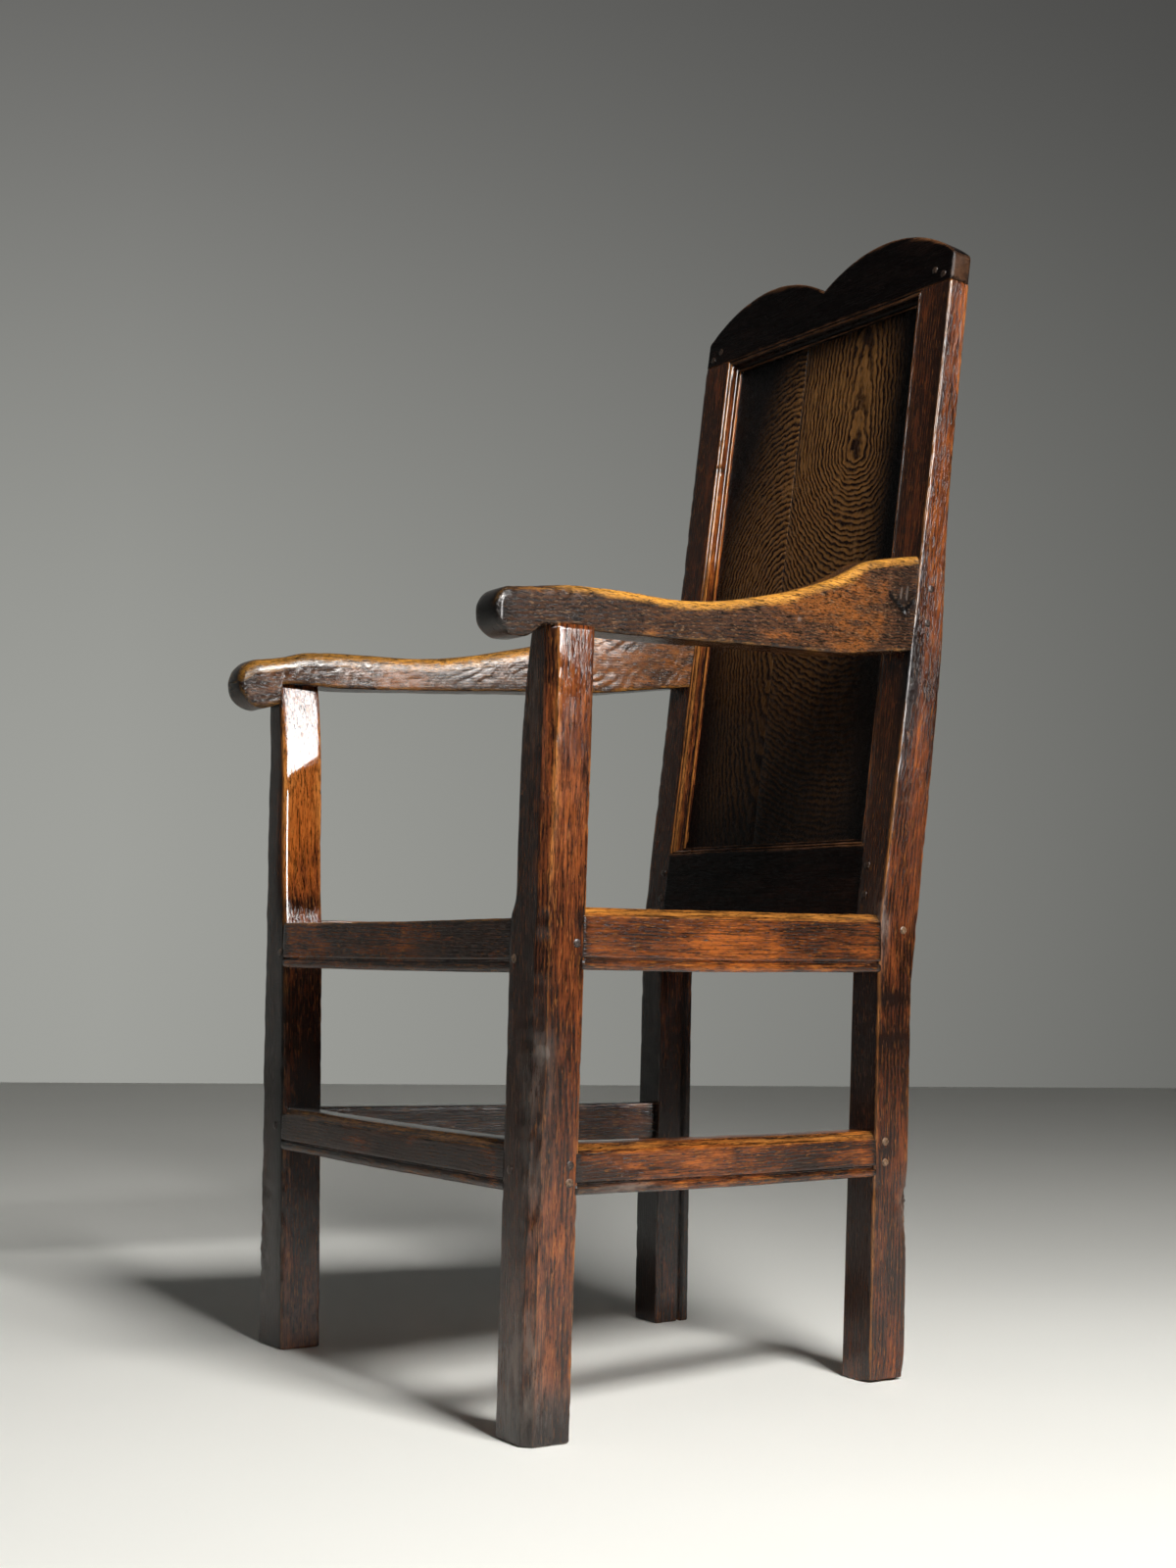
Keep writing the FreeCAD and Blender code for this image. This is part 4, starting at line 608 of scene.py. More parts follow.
def front_piece(name, low, high, tilt, thick, bevel, ledge, seed, marks):
    """The front rail or stretcher, tilted a little and sagging in its middle."""
    half = 226.0

    def section(t):
        lift = tilt * t / half
        sag = -0.8 * math.cos(t / half * math.pi / 2)
        return rail_section(low + lift + sag, high + lift + sag, thick, bevel, ledge)

    def place(t, up, deep):
        return (t, FRONT_Y + deep, up)

    ends = (front_inner(-1, low) + 2.5, front_inner(1, low) + 2.5)
    stations = spread((-ends[0], 2), (-ends[0] + 8, 8), (ends[1] - 8, 2), (ends[1], 1))
    loft(name, stations, section, place, (low - 90.0, 60.0), "oak_rails", seed=seed, marks=marks,
         joint_shade=0.8)


def side_piece(side, name, front, rear, thick, bevel, ledge, seed, marks=()):
    """A side rail or stretcher; front and rear give its lower and upper height at its ends."""
    middle = (front[0] + front[1] + rear[0] + rear[1]) / 4
    last = rear_front(middle) + 2.0

    def section(t):
        share = (t - LEG_BACK_Y) / (last - LEG_BACK_Y)
        low = front[0] + (rear[0] - front[0]) * share
        high = front[1] + (rear[1] - front[1]) * share
        belly = 1.0 * math.sin(math.pi * share)
        return rail_section(low - belly, high - 0.6 * belly, thick, bevel, ledge)

    def place(t, up, deep):
        return (side * (side_line(t, middle) - deep), t, up)

    stations = spread((LEG_BACK_Y - 2.5, 2), (LEG_BACK_Y + 6, 8), (last - 8, 2), (last, 1))
    loft(name, stations, section, place, (front[0] - 70.0, 40.0), "oak_rails", seed=seed, marks=marks,
         joint_shade=0.8)


def rear_rail():
    def section(t):
        return [corner(KINK, REBATE, 1.5, 0.5, cuts=(0.5,)), point(SEAT_LEDGE, REBATE, cuts=(0.5,)),
                point(SEAT_LEDGE, 0.0, cuts=(0.3, 0.7)), corner(RAIL_LOW, 0.0, 1.5, 0.5),
                corner(RAIL_LOW, RAIL_THICK, 2.0, 0.7), corner(KINK, RAIL_THICK, 2.0, 0.7, cuts=(0.3, 0.7))]

    def place(t, up, deep):
        return (t, 190.5 + deep, up)

    stations = spread((-167, 2), (-159, 8), (159, 2), (167, 1))
    loft("rear_seat_rail", stations, section, place, (330.0, 60.0), "oak_rails", seed=4.4, joint_shade=0.8)


# Seat boards

def seat_board(name, first, last, seed, front_notch=False, rear_notch=False):
    """One board across the seat; the end boards are notched round the legs."""
    middle = 411.5

    def half(y):
        wide = side_line(y, middle) - 17.0
        if front_notch and y < BOARD_NOTCH_FRONT:
            return front_inner(1, 425) - 1.0
        if rear_notch and y > BOARD_NOTCH_REAR:
            return 158.0
        return wide

    def section(t):
        wide = half(t)
        cuts = tuple(k / 24 for k in range(1, 24))
        low, high = SEAT_LEDGE, SEAT_TOP
        return [corner(-wide, low, 0.8, 0.3, cuts=(0.5,)), corner(-wide, high, 1.6, 0.8, cuts=cuts),
                corner(wide, high, 1.6, 0.8, cuts=(0.5,)), corner(wide, low, 0.8, 0.3, cuts=cuts)]

    def place(t, across, up):
        worn = 1.6 * math.exp(-(across / 130.0) ** 2 - ((t + 20.0) / 120.0) ** 2) if up > 422 else 0.0
        return (across, t, up - worn)

    stations = spread((first, 0.5), (first + 2, 2), (first + 6, 9), (last - 6, 2), (last - 2, 0.5), (last, 1))
    for notched, cut in ((front_notch, BOARD_NOTCH_FRONT), (rear_notch, BOARD_NOTCH_REAR)):
        if notched:
            stations = sorted([t for t in stations if abs(t - cut) > 2.0] + [cut - 0.02, cut + 0.02])

    def grain(t, across, up):
        return (across, t - first + 60.0, up - 380.0)

    loft(name, stations, section, place, (0, 0), "oak_seat", round_ends=(1.5, 1.5), seed=seed, undulate=0.35,
         grain=grain)


# Back frame

def crest_top(across):
    """Height of the crest up the rake: two arches meeting in a valley."""
    first, last = (0.0, 704.5), (CREST_HALF, 693.0)
    chord = math.hypot(last[0] - first[0], last[1] - first[1])
    radius = 178.0
    aside = ((first[1] - last[1]) / chord, (last[0] - first[0]) / chord)
    drop = math.sqrt(radius ** 2 - (chord / 2) ** 2)
    centre = ((first[0] + last[0]) / 2 - aside[0] * drop, (first[1] + last[1]) / 2 - aside[1] * drop)
    return centre[1] + math.sqrt(max(0.0, radius ** 2 - (min(abs(across), CREST_HALF) - centre[0]) ** 2))


def mitred(across):
    """How much of the moulding's width is there: less in the corners of the frame."""
    return clamp((MOULD_X - abs(across)) / MOULD_WIDE)


def mirrored(half):
    """The stations of a piece that is the same on both sides of the middle."""
    return [-t for t in reversed(half[1:])] + half


def crest(marks):
    def section(t):
        share = mitred(t)
        top = crest_top(t)
        out = [corner(top, 0.0, 3.6, 0.7), corner(top, CREST_THICK, 3.4, 0.7),
               corner(STILE_UP - MOULD_WIDE * share, CREST_THICK, 1.5, 0.5, cuts=(0.4,))]
        for inward, deep, wear in reversed(mould(share)):
            out.append(point(STILE_UP - inward * MOULD_WIDE, deep, wear))
        out[-1] = point(*out[-1][:2], 0.7, CUTS)
        return out

    half = spread((0, 1.2), (6, 5), (152, 1.6), (165, 5), (200, 2.5), (206.5, 0.75), (CREST_HALF, 1))
    loft("crest_rail", mirrored(half), section, raked, (560.0, 70.0), "oak_back_frame",
         round_ends=(3.4, 3.4), seed=5.3, marks=marks, front_shade=0.35)


def lower_rail():
    def section(t):
        share = mitred(t)
        out = [corner(LOWER_FOOT, 0.0, 2.0, 0.6)]
        for inward, deep, wear in mould(share):
            out.append(point(LOWER_UP + inward * LOWER_MOULD, deep, wear))
        out[1] = point(*out[1][:2], 0.7)
        out.append(corner(LOWER_UP + share * LOWER_MOULD, LOWER_THICK, 1.5, 0.4))
        out.append(corner(LOWER_FOOT, LOWER_THICK, 2.0, 0.4))
        return out

    half = spread((0, 8), (150, 1.6), (167, 1))
    loft("lower_back_rail", mirrored(half), section, raked, (-60.0, 90.0), "oak_back_frame", seed=6.1,
         joint_shade=0.6)


def panel_board(name, first, last, grain, seed, marks):
    """One board of the panel, cupped a little across its width."""
    cuts = tuple(k / 16 for k in range(1, 16))
    behind = PANEL_DEEP + PANEL_THICK

    def section(t):
        return [corner(first, PANEL_DEEP, 0.9, 0.5, cuts=cuts), corner(last, PANEL_DEEP, 0.9, 0.5),
                corner(last, behind, 0.9, 0.3), corner(first, behind, 0.9, 0.3)]

    def place(t, across, deep):
        cup = 0.7 * (2 * (across - first) / (last - first) - 1) ** 2 - 0.5
        return raked(across, t, deep - cup * (1 if deep < PANEL_DEEP + 4 else 0))

    loft(name, spread((83.5, 7), (657.0, 1)), section, place, (0, 0), "oak_panel", seed=seed, undulate=0.3,
         nicks=0.3, grain=grain, marks=marks)


# Arms

# Upper and lower edge as (distance back, height)
ARM_TOP = [(-215, 714.5), (-159, 716.8), (-96, 717.3), (-52, 722.0), (7, 733.8), (57, 746.3), (109, 763.7),
           (136, 776.5), (153, 786.0), (191, 795.2), (240, 804.8)]
ARM_UNDER = [(-244, 677.0), (-180, 677.6), (-105.6, 680.5), (-13.4, 686.0), (102, 691.4), (157, 697.7),
             (200, 703.2), (240, 708.0)]
ARM_CUTS = tuple(k / 28 for k in range(1, 28))


def gouges(p, normal):
    """Shallow slanting tool marks on the inner face of an arm."""
    turn = (p.y - 0.9 * p.z) / 15.5 + 1.1 * rnd(p.y / 40, p.z / 22) + 0.4 * rnd(p.y / 9, p.z / 14)
    deep = 0.25 + 0.9 * max(0.0, 0.35 + rnd(p.y / 55, p.z / 30, 4.0))
    return -0.95 * deep * max(0.0, normal.x) ** 4 * (0.5 + 0.5 * math.sin(turn * math.tau)) ** 2


def arm(side, name, middle, height, radius, throat, outer_tip, marks):
    """An arm; its scrolled end is a circle round a middle and a height, with the throat behind it."""
    tip = middle - radius
    slope = (outer_tip - 206.0) / (224.0 - tip)
    top_line = [(middle, height + radius), (middle + 22, height + radius + 3.5)] + ARM_TOP
    low_line = [(middle, height - radius)] + throat + ARM_UNDER

    def bounds_at(y):
        if y < middle:
            reach = math.sqrt(max(0.01, radius ** 2 - (middle - y) ** 2))
            return height - reach, height + reach
        return smooth_line(y, low_line), smooth_line(y, top_line)

    def section(y):
        low, high = bounds_at(y)
        outer = outer_tip - slope * (y - tip) + 1.6 * math.sin((y - tip) / 520 * math.pi)
        inner = outer - ARM_WIDE
        near = y - tip
        draw = 7.0 - math.sqrt(max(0.0, 49.0 - (7.0 - near) ** 2)) if near < 7.0 else 0.0
        tall = high - low
        most = 0.45 * tall
        top_round = min(8.5, most)
        inner_round = min(0.7 * top_round if side > 0 else 15.0, most)
        under = min(5.0 if y < -240 else 3.4, most)
        return [
            corner(outer - draw, high, top_round, 1.0, cuts=(0.3, 0.7)),
            corner(inner + draw, high, inner_round, 0.9, cuts=ARM_CUTS),
            corner(inner + draw, low, under, 0.7, cuts=(0.1, 0.3, 0.5, 0.7, 0.9)),
            corner(outer - draw, low, under, 0.6, cuts=ARM_CUTS),
        ]

    def place(y, across, up):
        return (side * across, y, up)

    front = [tip + radius * (1 - math.cos(k / 14 * math.pi / 2)) for k in range(1, 15)]
    stations = [tip + 0.05] + front + spread((middle + 3, 2.6), (182, 1.2), (238, 1))
    seed, relief = (7.7, None) if side > 0 else (8.9, gouges)
    loft(name, stations, section, place, (140.0, 560.0), "oak_arms", seed=seed, marks=marks, undulate=0.7,
         relief=relief)


# Pegs

def pegs(name, places):
    """Slightly proud cleft pegs; each place is (centre, outward direction, pale share)."""
    verts, faces, finish, grain = [], [], [], []
    steps = [(-12.0, 1.0), (-0.1, 1.0), (0.45, 0.96), (0.75, 0.80), (0.85, 0.5), (0.9, 0.15)]
    for number, (centre, outward, pale) in enumerate(places):
        axis = Vector(outward).normalized()
        first = axis.orthogonal().normalized()
        second = axis.cross(first)
        start = len(verts)
        for along, share in steps:
            radius = PEG_RADIUS * share
            for k in range(PEG_SIDES):
                angle = k / PEG_SIDES * math.tau
                wobble = 1 + 0.03 * math.cos(4 * angle + number) + 0.05 * rnd(number * 3.1, k * 0.7)
                around = first * math.cos(angle) + second * math.sin(angle)
                verts.append(Vector(centre) + axis * along + around * radius * wobble)
                finish.append((pale, 0.0, 0.0))
                grain.append((along + 40 * number, radius * math.cos(angle) + 9, radius * math.sin(angle)))
        for i in range(len(steps) - 1):
            low = start + i * PEG_SIDES
            for k in range(PEG_SIDES):
                m = (k + 1) % PEG_SIDES
                faces.append((low + k, low + m, low + PEG_SIDES + m, low + PEG_SIDES + k))
        faces.append(tuple(start + k for k in range(PEG_SIDES - 1, -1, -1)))
        faces.append(tuple(start + (len(steps) - 1) * PEG_SIDES + k for k in range(PEG_SIDES)))
    mesh = bpy.data.meshes.new(name)
    mesh.from_pydata([p * MM for p in verts], [], faces)
    give(mesh, "grain", np.array(grain) * MM)
    give(mesh, "finish", np.array(finish))
    piece(name, mesh, "oak_pegs")


def outward_peg(side, y, z, pale):
    """A peg in the outer side of a leg."""
    x = front_outer(z) if y < 0 else rear_outer(z)
    return ((side * x, y, z), (side, 0, 0), pale)


# All pieces

front_leg(1, "front_leg_right", [
    ((262, -240, 300), (14, 14, 30), "grey", 0.7), ((262, -240, 215), (12, 12, 45), "grey", 0.5),
    ((266, -242, 60), (14, 14, 60), "grey", 0.35), ((275, -240, 321), (9, 9, 9), "rough", 3.5),
    ((275, -240, 321), (8, 8, 7), "grey", 1.0), ((262, -240, 240), (10, 10, 120), "rough", 2.6),
    ((236, -205, 400), (60, 6, 26), "dark", 0.5), ((275, -222, 600), (24, 40, 130), "dark", -0.2),
    ((275, -222, 290), (24, 40, 90), "dark", 0.3), ((275, -222, 5), (60, 60, 34), "dark", 0.8),
    ((275, -222, 20), (60, 60, 26), "grey", 0.4), ((240, -244, 50), (50, 10, 70), "grey", 0.6),
    ((240, -244, 50), (50, 10, 100), "dark", -0.3), ((282, -232, 560), (8, 12, 120), "wear", 0.4),
    # The grey high on the front face, at (250, -244, 620), is painted reflection.
    ((284, -222, 650), (10, 44, 60), "grey", -0.8), ((250, -244, 620), (34, 8, 60), "grey", 0.4),
    ((278, -204, 431), (6, 8, 12), "dark", 0.5),
    (((277, -247, 414), (276, -244, 360)), (3, 3, 3), "grey", 1.0),
    (((277, -247, 414), (276, -244, 360)), (2.5, 2.5, 2.5), "dent", 1.2),
])
front_leg(-1, "front_leg_left", [
    ((-236, -222, 640), (20, 60, 120), "grey", -0.6), ((-236, -222, 495), (20, 60, 95), "grey", -1.2),
    ((-236, -222, 590), (12, 60, 120), "wear", 0.6),
    ((-252, -244, 120), (16, 14, 100), "rough", 1.6), ((-210, -244, 120), (8, 8, 90), "rough", 1.6),
    ((-240, -230, 647), (4, 4, 4), "dark", 1.0), ((-236, -222, 560), (14, 40, 100), "dark", -0.7),
    # The inner face below the seat, darkened at (-222, -218, 215), is painted shade of the seat.
    ((-226, -222, 449), (10, 40, 9), "dark", 0.5), ((-222, -218, 215), (14, 40, 190), "dark", 0.85),
    ((-240, -244, 90), (50, 10, 110), "dark", -0.2), ((-240, -244, 60), (50, 10, 90), "grey", 0.3),
])
rear_stile(1, "rear_stile_right", [
    ((201, 225, 175), (10, 12, 14), "rough", 6.0), ((201, 227, 150), (10, 9, 20), "rough", 4.5),
    ((201, 227, 165), (14, 10, 25), "grey", 0.8), ((196, 205, 0), (5, 60, 14), "dent", 4.0),
    ((203, 190, 440), (14, 6, 30), "grey", 1.0), ((203, 205, 365), (20, 30, 7), "dark", 0.5),
    ((203, 205, 325), (20, 30, 9), "dark", 0.4), ((200, 199, 218), (8, 4.5, 4.5), "dark", 1.0),
    ((210, 262, 800), (14, 7, 60), "rough", 1.2), ((208, 278, 980), (14, 6, 90), "rough", 1.2),
    ((203, 210, 330), (14, 60, 100), "dark", 0.35), ((200, 210, 90), (14, 60, 90), "dark", 0.3),
    ((205, 230, 690), (14, 60, 60), "dark", 0.4), ((170, 190, 250), (24, 12, 220), "dark", 0.5),
    (((207, 203, 560), (209, 264, 1090)), (10, 12, 30), "dark", 0.4),
    (((207, 236, 620), (209, 287, 1060)), (10, 8, 30), "dark", -0.15),
    ((208, 224, 690), (12, 60, 80), "dark", 0.25), ((209, 255, 1030), (12, 40, 90), "dark", 0.15),
    ((208, 240, 900), (12, 60, 200), "grey", -0.5),
])
rear_stile(-1, "rear_stile_left", [
    ((-162, 249, 958), (10, 12, 3.0), "dent", 1.0), ((-162, 249, 958), (10, 12, 2.0), "dark", 0.8),
    (((-157, 202, 522), (-157, 273, 1077)), (9, 12, 20), "grey", -1.0),
    # The gold along this stile's moulding is partly painted highlight.
    (((-157, 202, 522), (-157, 273, 1077)), (9, 12, 20), "wear", 0.5),
    # The leg below the seat, darkened at (-180, 200, 200), is painted shade of the seat.
    ((-180, 200, 200), (60, 60, 230), "dark", 0.75),
])
front_piece("front_seat_rail", 385.0, 431.0, 1.8, RAIL_THICK, 0.0, SEAT_LEDGE, 4.0, [
    ((150, -244, 410), (90, 20, 60), "dark", 0.4), ((0, -244, 410), (400, 20, 60), "dark", 0.15),
])
front_piece("front_stretcher", 201.5, 243.0, 2.7, STRETCHER_THICK, BEVEL, 0.0, 4.8, [
    ((0, -244, 220), (400, 20, 60), "dark", 0.55),
])
side_piece(1, "seat_rail_right", (RAIL_LOW, 443.0), (RAIL_LOW, 446.0), RAIL_THICK, BEVEL, SEAT_LEDGE, 5.6, [
    ((215, 130, 415), (40, 60, 40), "dark", 0.25), ((258, -185, 410), (30, 30, 30), "dark", -0.15),
    ((238, -40, 425), (40, 70, 40), "dark", -0.25), ((250, -130, 425), (30, 30, 6), "dark", 0.35),
    ((225, 80, 428), (30, 36, 5), "dark", 0.4),
])
side_piece(-1, "seat_rail_left", (RAIL_LOW, 433.0), (RAIL_LOW, 433.0), RAIL_THICK, BEVEL, SEAT_LEDGE, 5.9)
side_piece(1, "stretcher_right", (203.0, 245.0), (194.5, 238.0), STRETCHER_THICK, BEVEL, 0.0, 6.4, [
    ((262, -150, 205), (16, 40, 6), "grey", 0.9), ((225, 110, 210), (40, 80, 22), "dark", 0.6),
    ((262, -175, 215), (30, 40, 20), "dark", 0.45), ((248, -60, 235), (40, 80, 10), "dark", -0.3),
    ((242, -10, 232), (6, 5, 7), "dark", 0.9), ((240, 0, 242), (60, 300, 9), "wear", -0.25),
])
side_piece(-1, "stretcher_left", (200.0, 239.0), (200.0, 239.0), STRETCHER_THICK, BEVEL, 0.0, 6.8, [
    ((-240, 0, 220), (60, 400, 60), "dark", 0.55),
])
rear_rail()
third = (BOARDS_REAR - BOARDS_FRONT) / 3
first_joint, second_joint = BOARDS_FRONT + third, BOARDS_FRONT + 2 * third
seat_board("seat_board_front", BOARDS_FRONT, first_joint - BOARD_GAP, 1.1, front_notch=True)
seat_board("seat_board_middle", first_joint + BOARD_GAP, second_joint - BOARD_GAP, 1.4)
seat_board("seat_board_rear", second_joint + BOARD_GAP, BOARDS_REAR, 1.7, rear_notch=True)
crest([((side * CREST_HALF, 285, 1112), (4, 60, 60), "dark", 0.75) for side in (1, -1)])
lower_rail()


def bowed(t, turn, above, below):
    """How far a growth ring's centre lies off the board, so that its lines bow round at one height."""
    return math.hypot(max(0.0, t - turn) * above, max(0.0, turn - t) * below) + 6.0


def left_grain(t, across, deep):
    return (t, across + 26.0, deep + bowed(t, 370.0, 0.75, 0.22))


def right_grain(t, across, deep):
    centre = 94.0 - 0.22 * min(110.0, max(0.0, t - 404.0))
    return (t, across - centre, deep + bowed(t, 505.0, 0.10, 0.80))


def stain_and_shadow(across, up, wide, tall, amount):
    """A darker region of the panel; some of these are painted shadow."""
    return (raked(across, up, PANEL_DEEP), (wide, 60.0, tall), "dark", amount)


# The band beside the right stile is painted shadow of that stile, and the broad region low on the panel is
# partly painted shade under the arm.
STAINS_AND_SHADOWS = [stain_and_shadow(0, 205, 600, 150, 0.6), stain_and_shadow(0, 90, 600, 45, 0.4), stain_and_shadow(0, 665, 600, 45, 0.5),
          stain_and_shadow(-165, 620, 85, 150, 1.5), stain_and_shadow(162, 440, 42, 400, 1.4), stain_and_shadow(-165, 300, 34, 500, 0.6)]
panel_board("panel_board_left", -159.0, -31.7, left_grain, 0.3, STAINS_AND_SHADOWS)
panel_board("panel_board_right", -31.3, 159.0, right_grain, 0.9, STAINS_AND_SHADOWS + [
    ((127, 200, 547), (4, 6, 4), "dark", 1.0),
])
arm(1, "arm_right", -282.0, 684.3, 20.8, [(-267.2, 664.9), (-251.6, 675.1)], 293.9, [
    ((270, -303, 684), (60, 11, 40), "dark", 0.9), ((285, -292, 684), (12, 5, 12), "dark", 0.3),
    ((279, -217, 686), (5, 5, 4), "dark", 0.9), ((207, 212, 760), (14, 26, 30), "dark", 0.55),
    (((211.7, 190, 758), (208, 211, 744)), (3, 1.9, 1.9), "dark", 1.2),
    (((208, 211, 744), (205, 229, 759)), (3, 1.8, 1.8), "dark", 1.1),
    (((211.7, 190, 758), (208, 211, 744)), (3, 1.8, 1.8), "dent", 1.8),
    (((208, 211, 744), (205, 229, 759)), (3, 1.8, 1.8), "dent", 1.6),
    # The two short grey lines at the knot are painted glints.
    (((208, 205, 757), (208, 207, 766)), (3, 1.3, 2), "grey", 0.9),
    (((208, 214, 757), (208, 216, 768)), (3, 1.3, 2), "grey", 0.9),
    ((208, 212, 757), (12, 20, 12), "rough", 0.9), ((221, 134, 757), (30, 36, 22), "dark", -0.2),
    # The wear marks along the top of this arm, from the scroll to the rear, are partly painted highlight.
    ((226, 106, 765), (30, 50, 12), "wear", 0.5), ((219, 143, 707), (30, 34, 14), "dark", -0.25),
    ((228, 89, 722), (30, 40, 16), "dark", 0.05), ((285, -265, 700), (30, 44, 40), "wear", -0.45),
    ((285, -285, 690), (30, 34, 30), "dark", 0.25), ((262, -170, 726), (30, 60, 9), "wear", 0.7),
    ((270, -160, 697), (30, 60, 14), "dark", 0.2), ((258, -88, 716), (30, 60, 6), "wear", 0.35),
    ((233, 40, 730), (30, 60, 8), "wear", 0.3), ((233.6, 58, 717.7), (3, 2.5, 2.5), "grey", 1.0),
])
arm(-1, "arm_left", -262.5, 678.0, 26.5, [(-247.5, 656.8), (-244.05, 661.0)], 291.8, [
    ((-270, -290, 680), (60, 11, 40), "dark", 0.6), ((-226, -150, 725), (16, 200, 9), "grey", -0.8),
    # The inner face made lighter and greyer in the middle and towards the rear is partly painted sheen.
    ((-180, 130, 720), (30, 90, 40), "dark", -0.4),
    ((-230, -60, 700), (30, 90, 40), "dark", -0.2), ((-225, -60, 700), (20, 160, 40), "grey", 0.2),
    ((-240, -200, 700), (30, 90, 60), "dark", 0.35), ((-245, -250, 690), (20, 40, 40), "grey", -0.4),
    ((-180, 144, 745), (5, 6, 3), "dark", 0.8), ((-174, 180, 720), (10, 26, 12), "dark", 0.4),
])
pegs("seat_rail_pegs", [
    outward_peg(1, FRONT_PEG_Y, 412.4, 0.0), outward_peg(-1, FRONT_PEG_Y, 412.4, 0.2),
    outward_peg(1, 216.0, 431.2, 0.9), outward_peg(-1, 216.0, 418.2, 0.5),
    ((FRONT_PEG_X, FRONT_Y, 398.6), FORWARD, 0.8), ((-FRONT_PEG_X, FRONT_Y, 398.6), FORWARD, 0.6),
    ((172.6, 230.9, 403.5), (0, 1, 0), 0.5), ((-172.6, 230.9, 403.5), (0, 1, 0), 0.5),
])
pegs("stretcher_pegs", [
    outward_peg(side, y, z, pale)
    for side in (1, -1)
    for y, z, pale in (
        (FRONT_PEG_Y, 213.8, 0.8), (FRONT_PEG_Y, 228.2, 0.0), (196.5, 208.0, 0.9), (196.5, 228.0, 0.85))
] + [((FRONT_PEG_X, FRONT_Y, 222.3), FORWARD, 0.0), ((-FRONT_PEG_X, FRONT_Y, 222.3), FORWARD, 0.3)])
pegs("arm_pegs", [
    outward_peg(side, back_front(z) + 18.0, z, 0.1) for side in (1, -1) for z in (735.8, 770.6)
])
pegs("crest_pegs", [
    (raked(side * x, up, 0.0), OUT_OF_BACK, 0.15)
    for side in (1, -1) for x, up in ((196.7, 671.0), (183.1, 678.2))
])
pegs("lower_rail_pegs", [
    (raked(side * 174.6, up, 0.0), OUT_OF_BACK, 0.1) for side in (1, -1) for up in (62.2, 33.0)
])


# Camera, fitted to the photograph: its angles, its focal length in pixels of the frame, and its place

AZIMUTH, ELEVATION, ROLL, FOCAL = 0.99761, -0.07873, 0.01788, 2133.227
FRAME_TALL, SENSOR = 1600.0, 36.0
EYE = Vector((1.75157, -1.15208, 0.40771))
back = Vector((math.sin(AZIMUTH) * math.cos(ELEVATION), -math.cos(AZIMUTH) * math.cos(ELEVATION),
               math.sin(ELEVATION)))
right = (-back).cross(Vector((0, 0, 1))).normalized()
up = right.cross(-back)
camera_x = math.cos(ROLL) * right + math.sin(ROLL) * up
camera_y = -math.sin(ROLL) * right + math.cos(ROLL) * up

camera_data = bpy.data.cameras.new("camera")
camera_data.lens = SENSOR * FOCAL / FRAME_TALL
camera_data.sensor_width = SENSOR
camera = add_object("camera", camera_data)
turned = Matrix((camera_x, camera_y, back)).transposed().to_4x4()
camera.matrix_world = Matrix.Translation(EYE) @ turned
bpy.context.scene.camera = camera


# Floor, walls and lights

def floor_material(name, colour, roughness):
    """A pale floor, a little uneven, with painted shade that darkens it to the right and more so far to the
    right.
    """
    n = Nodes(name)
    place = n.add("ShaderNodeTexCoord").outputs["Object"]
    soft = n.noise(place, (1.3, 1.3, 1.3), 3.0)
    tone = n.mix(n.ramp(soft, 0.3, 0.7), tuple(0.97 * c for c in colour), colour)
    aside = n.along(place, right)
    # Painted shade: darker to the right, and more so far back on the right.
    far = n.times(n.ramp(aside, -0.3, 0.6), n.ramp(n.along(place, -back), 0.1, 0.9))
    painted_shade_right = n.line(far, 0.25, n.times(n.ramp(aside, -0.8, 0.6), 0.08))
    tone = n.mix(painted_shade_right, tone, tuple(0.4 * c for c in colour))
    inputs = {"Base Color": tone, "Roughness": roughness, "Specular IOR Level": 0.12}
    return n.finished(n.add("ShaderNodeBsdfPrincipled", inputs))


def sheet(name, corners, material):
    """A flat piece of the room, which isn't part of the chair."""
    mesh = bpy.data.meshes.new(name)
    mesh.from_pydata(corners, [], [(0, 1, 2, 3)])
    mesh.materials.append(material)
    add_object(name, mesh)


def wall(name, glossy, shown, shaded):
    """A studio wall with painted light, lighter low down, and plain grey for the light that it gives back to
    the room.

    glossy and shown are its brightness in gloss and for the camera. Gloss sees painted shade darken it to the
    right, and so does the camera where it is shaded.
    """
    n = Nodes(name)
    place = n.add("ShaderNodeTexCoord").outputs["Object"]
    height = n.add("ShaderNodeSeparateXYZ", {0: place}).outputs[2]
    fade = n.ramp(height, 0.46, 4.05)
    tone = n.mix(fade, (0.35, 0.354, 0.33), (0.112, 0.111, 0.107))
    shade = n.line(n.along(place, right), 0.174, 0.242, clamp=True)
    shade = n.times(shade, n.line(fade, -0.3, 1.0))
    seen = n.add("ShaderNodeLightPath").outputs
    if not shaded:
        shade = n.times(shade, n.math("SUBTRACT", 1.0, seen["Is Camera Ray"]))
    tone = n.mix(shade, tone, (0.0, 0.0, 0.0))
    rays = n.math("MAXIMUM", n.math("MAXIMUM", seen["Is Camera Ray"], seen["Is Glossy Ray"]),
                  seen["Is Transmission Ray"])
    strength = n.line(seen["Is Camera Ray"], shown - glossy, glossy)
    grey = n.add("ShaderNodeBsdfDiffuse", {"Color": (0.3, 0.3, 0.29, 1.0)}).outputs[0]
    backdrop = n.add("ShaderNodeEmission", {"Color": tone, "Strength": strength}).outputs[0]
    return n.finished(n.add("ShaderNodeMixShader", {0: rays, 1: grey, 2: backdrop}))


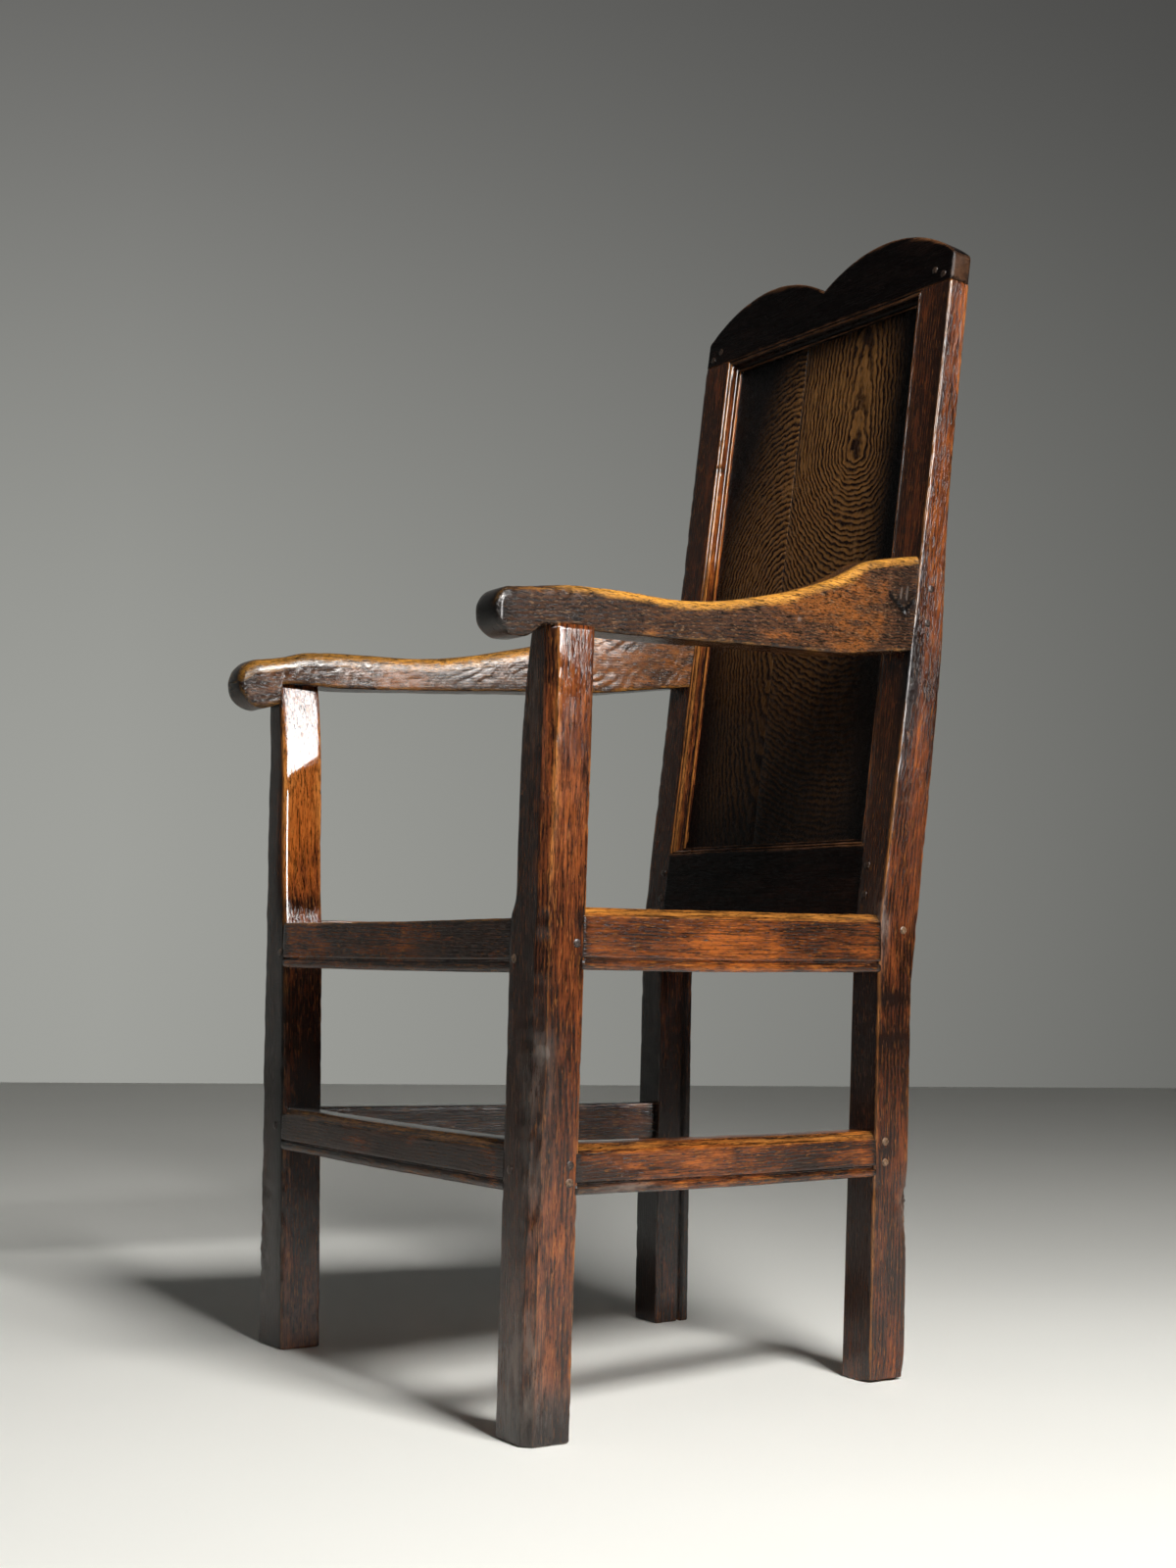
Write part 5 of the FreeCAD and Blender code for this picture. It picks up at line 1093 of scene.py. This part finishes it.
level = Vector((back.x, back.y, 0)).normalized()
TURN, ROOM, WALL_TALL, FLOOR = math.radians(11.3), 4.15, 4.8, 9.0
room_level = math.cos(TURN) * level + math.sin(TURN) * right
room_right = math.cos(TURN) * right - math.sin(TURN) * level
floor_corners = [(x * FLOOR, y * FLOOR, 0) for x, y in ((-1, -1), (1, -1), (1, 1), (-1, 1))]
sheet("floor", floor_corners, floor_material("pale_floor", (0.96, 0.965, 0.93), 0.55))
main_wall, other_wall = wall("grey_wall", 1.0, 1.0, True), wall("dim_wall", 0.18, 0.75, False)
pairs = ((room_level, room_right), (room_right, room_level))
walls = [(sign * out, aside) for out, aside in pairs for sign in (-1, 1)]
for number, (out, aside) in enumerate(walls):
    low = [out * ROOM - aside * ROOM, out * ROOM + aside * ROOM]
    high = [p + Vector((0, 0, WALL_TALL)) for p in reversed(low)]
    sheet(f"wall_{number}", low + high, other_wall if number else main_wall)


LAMP_COLOUR, CARD_COLOUR = (1.0, 0.98, 0.945), (1.0, 0.98, 0.96)


def area_light(name, place, target, wide, tall, power, card=True):
    """A lamp, or a card that shows only in gloss."""
    data = bpy.data.lights.new(name, "AREA")
    data.shape = "RECTANGLE"
    data.size, data.size_y = wide, tall
    data.energy = power
    data.color = CARD_COLOUR if card else LAMP_COLOUR
    made = add_object(name, data)
    made.location = place
    aim = (Vector(target) - Vector(place)).to_track_quat("-Z", "Y")
    made.rotation_euler = aim.to_euler()
    made.visible_camera = False
    made.visible_diffuse = not card


area_light("key", (1.92, -0.10, 2.30), (0.0, 0.0, 0.5), 0.75, 0.7, 98.0, card=False)
area_light("side", (2.27, 0.82, 1.83), (-0.24, -0.22, 0.64), 0.44, 1.25, 66.0)
area_light("low", (2.43, 0.67, 1.05), (-0.2, 0.0, 0.7), 0.54, 0.42, 23.0)
area_light("front", (1.55, -1.45, 2.10), (0.0, 0.24, 0.95), 0.9, 0.7, 42.0)

world = bpy.data.worlds.new("studio")
world.use_nodes = True
world.node_tree.nodes["Background"].inputs[0].default_value = (0.035, 0.0355, 0.035, 1.0)
bpy.context.scene.world = world
bpy.context.scene.view_settings.view_transform = "Standard"
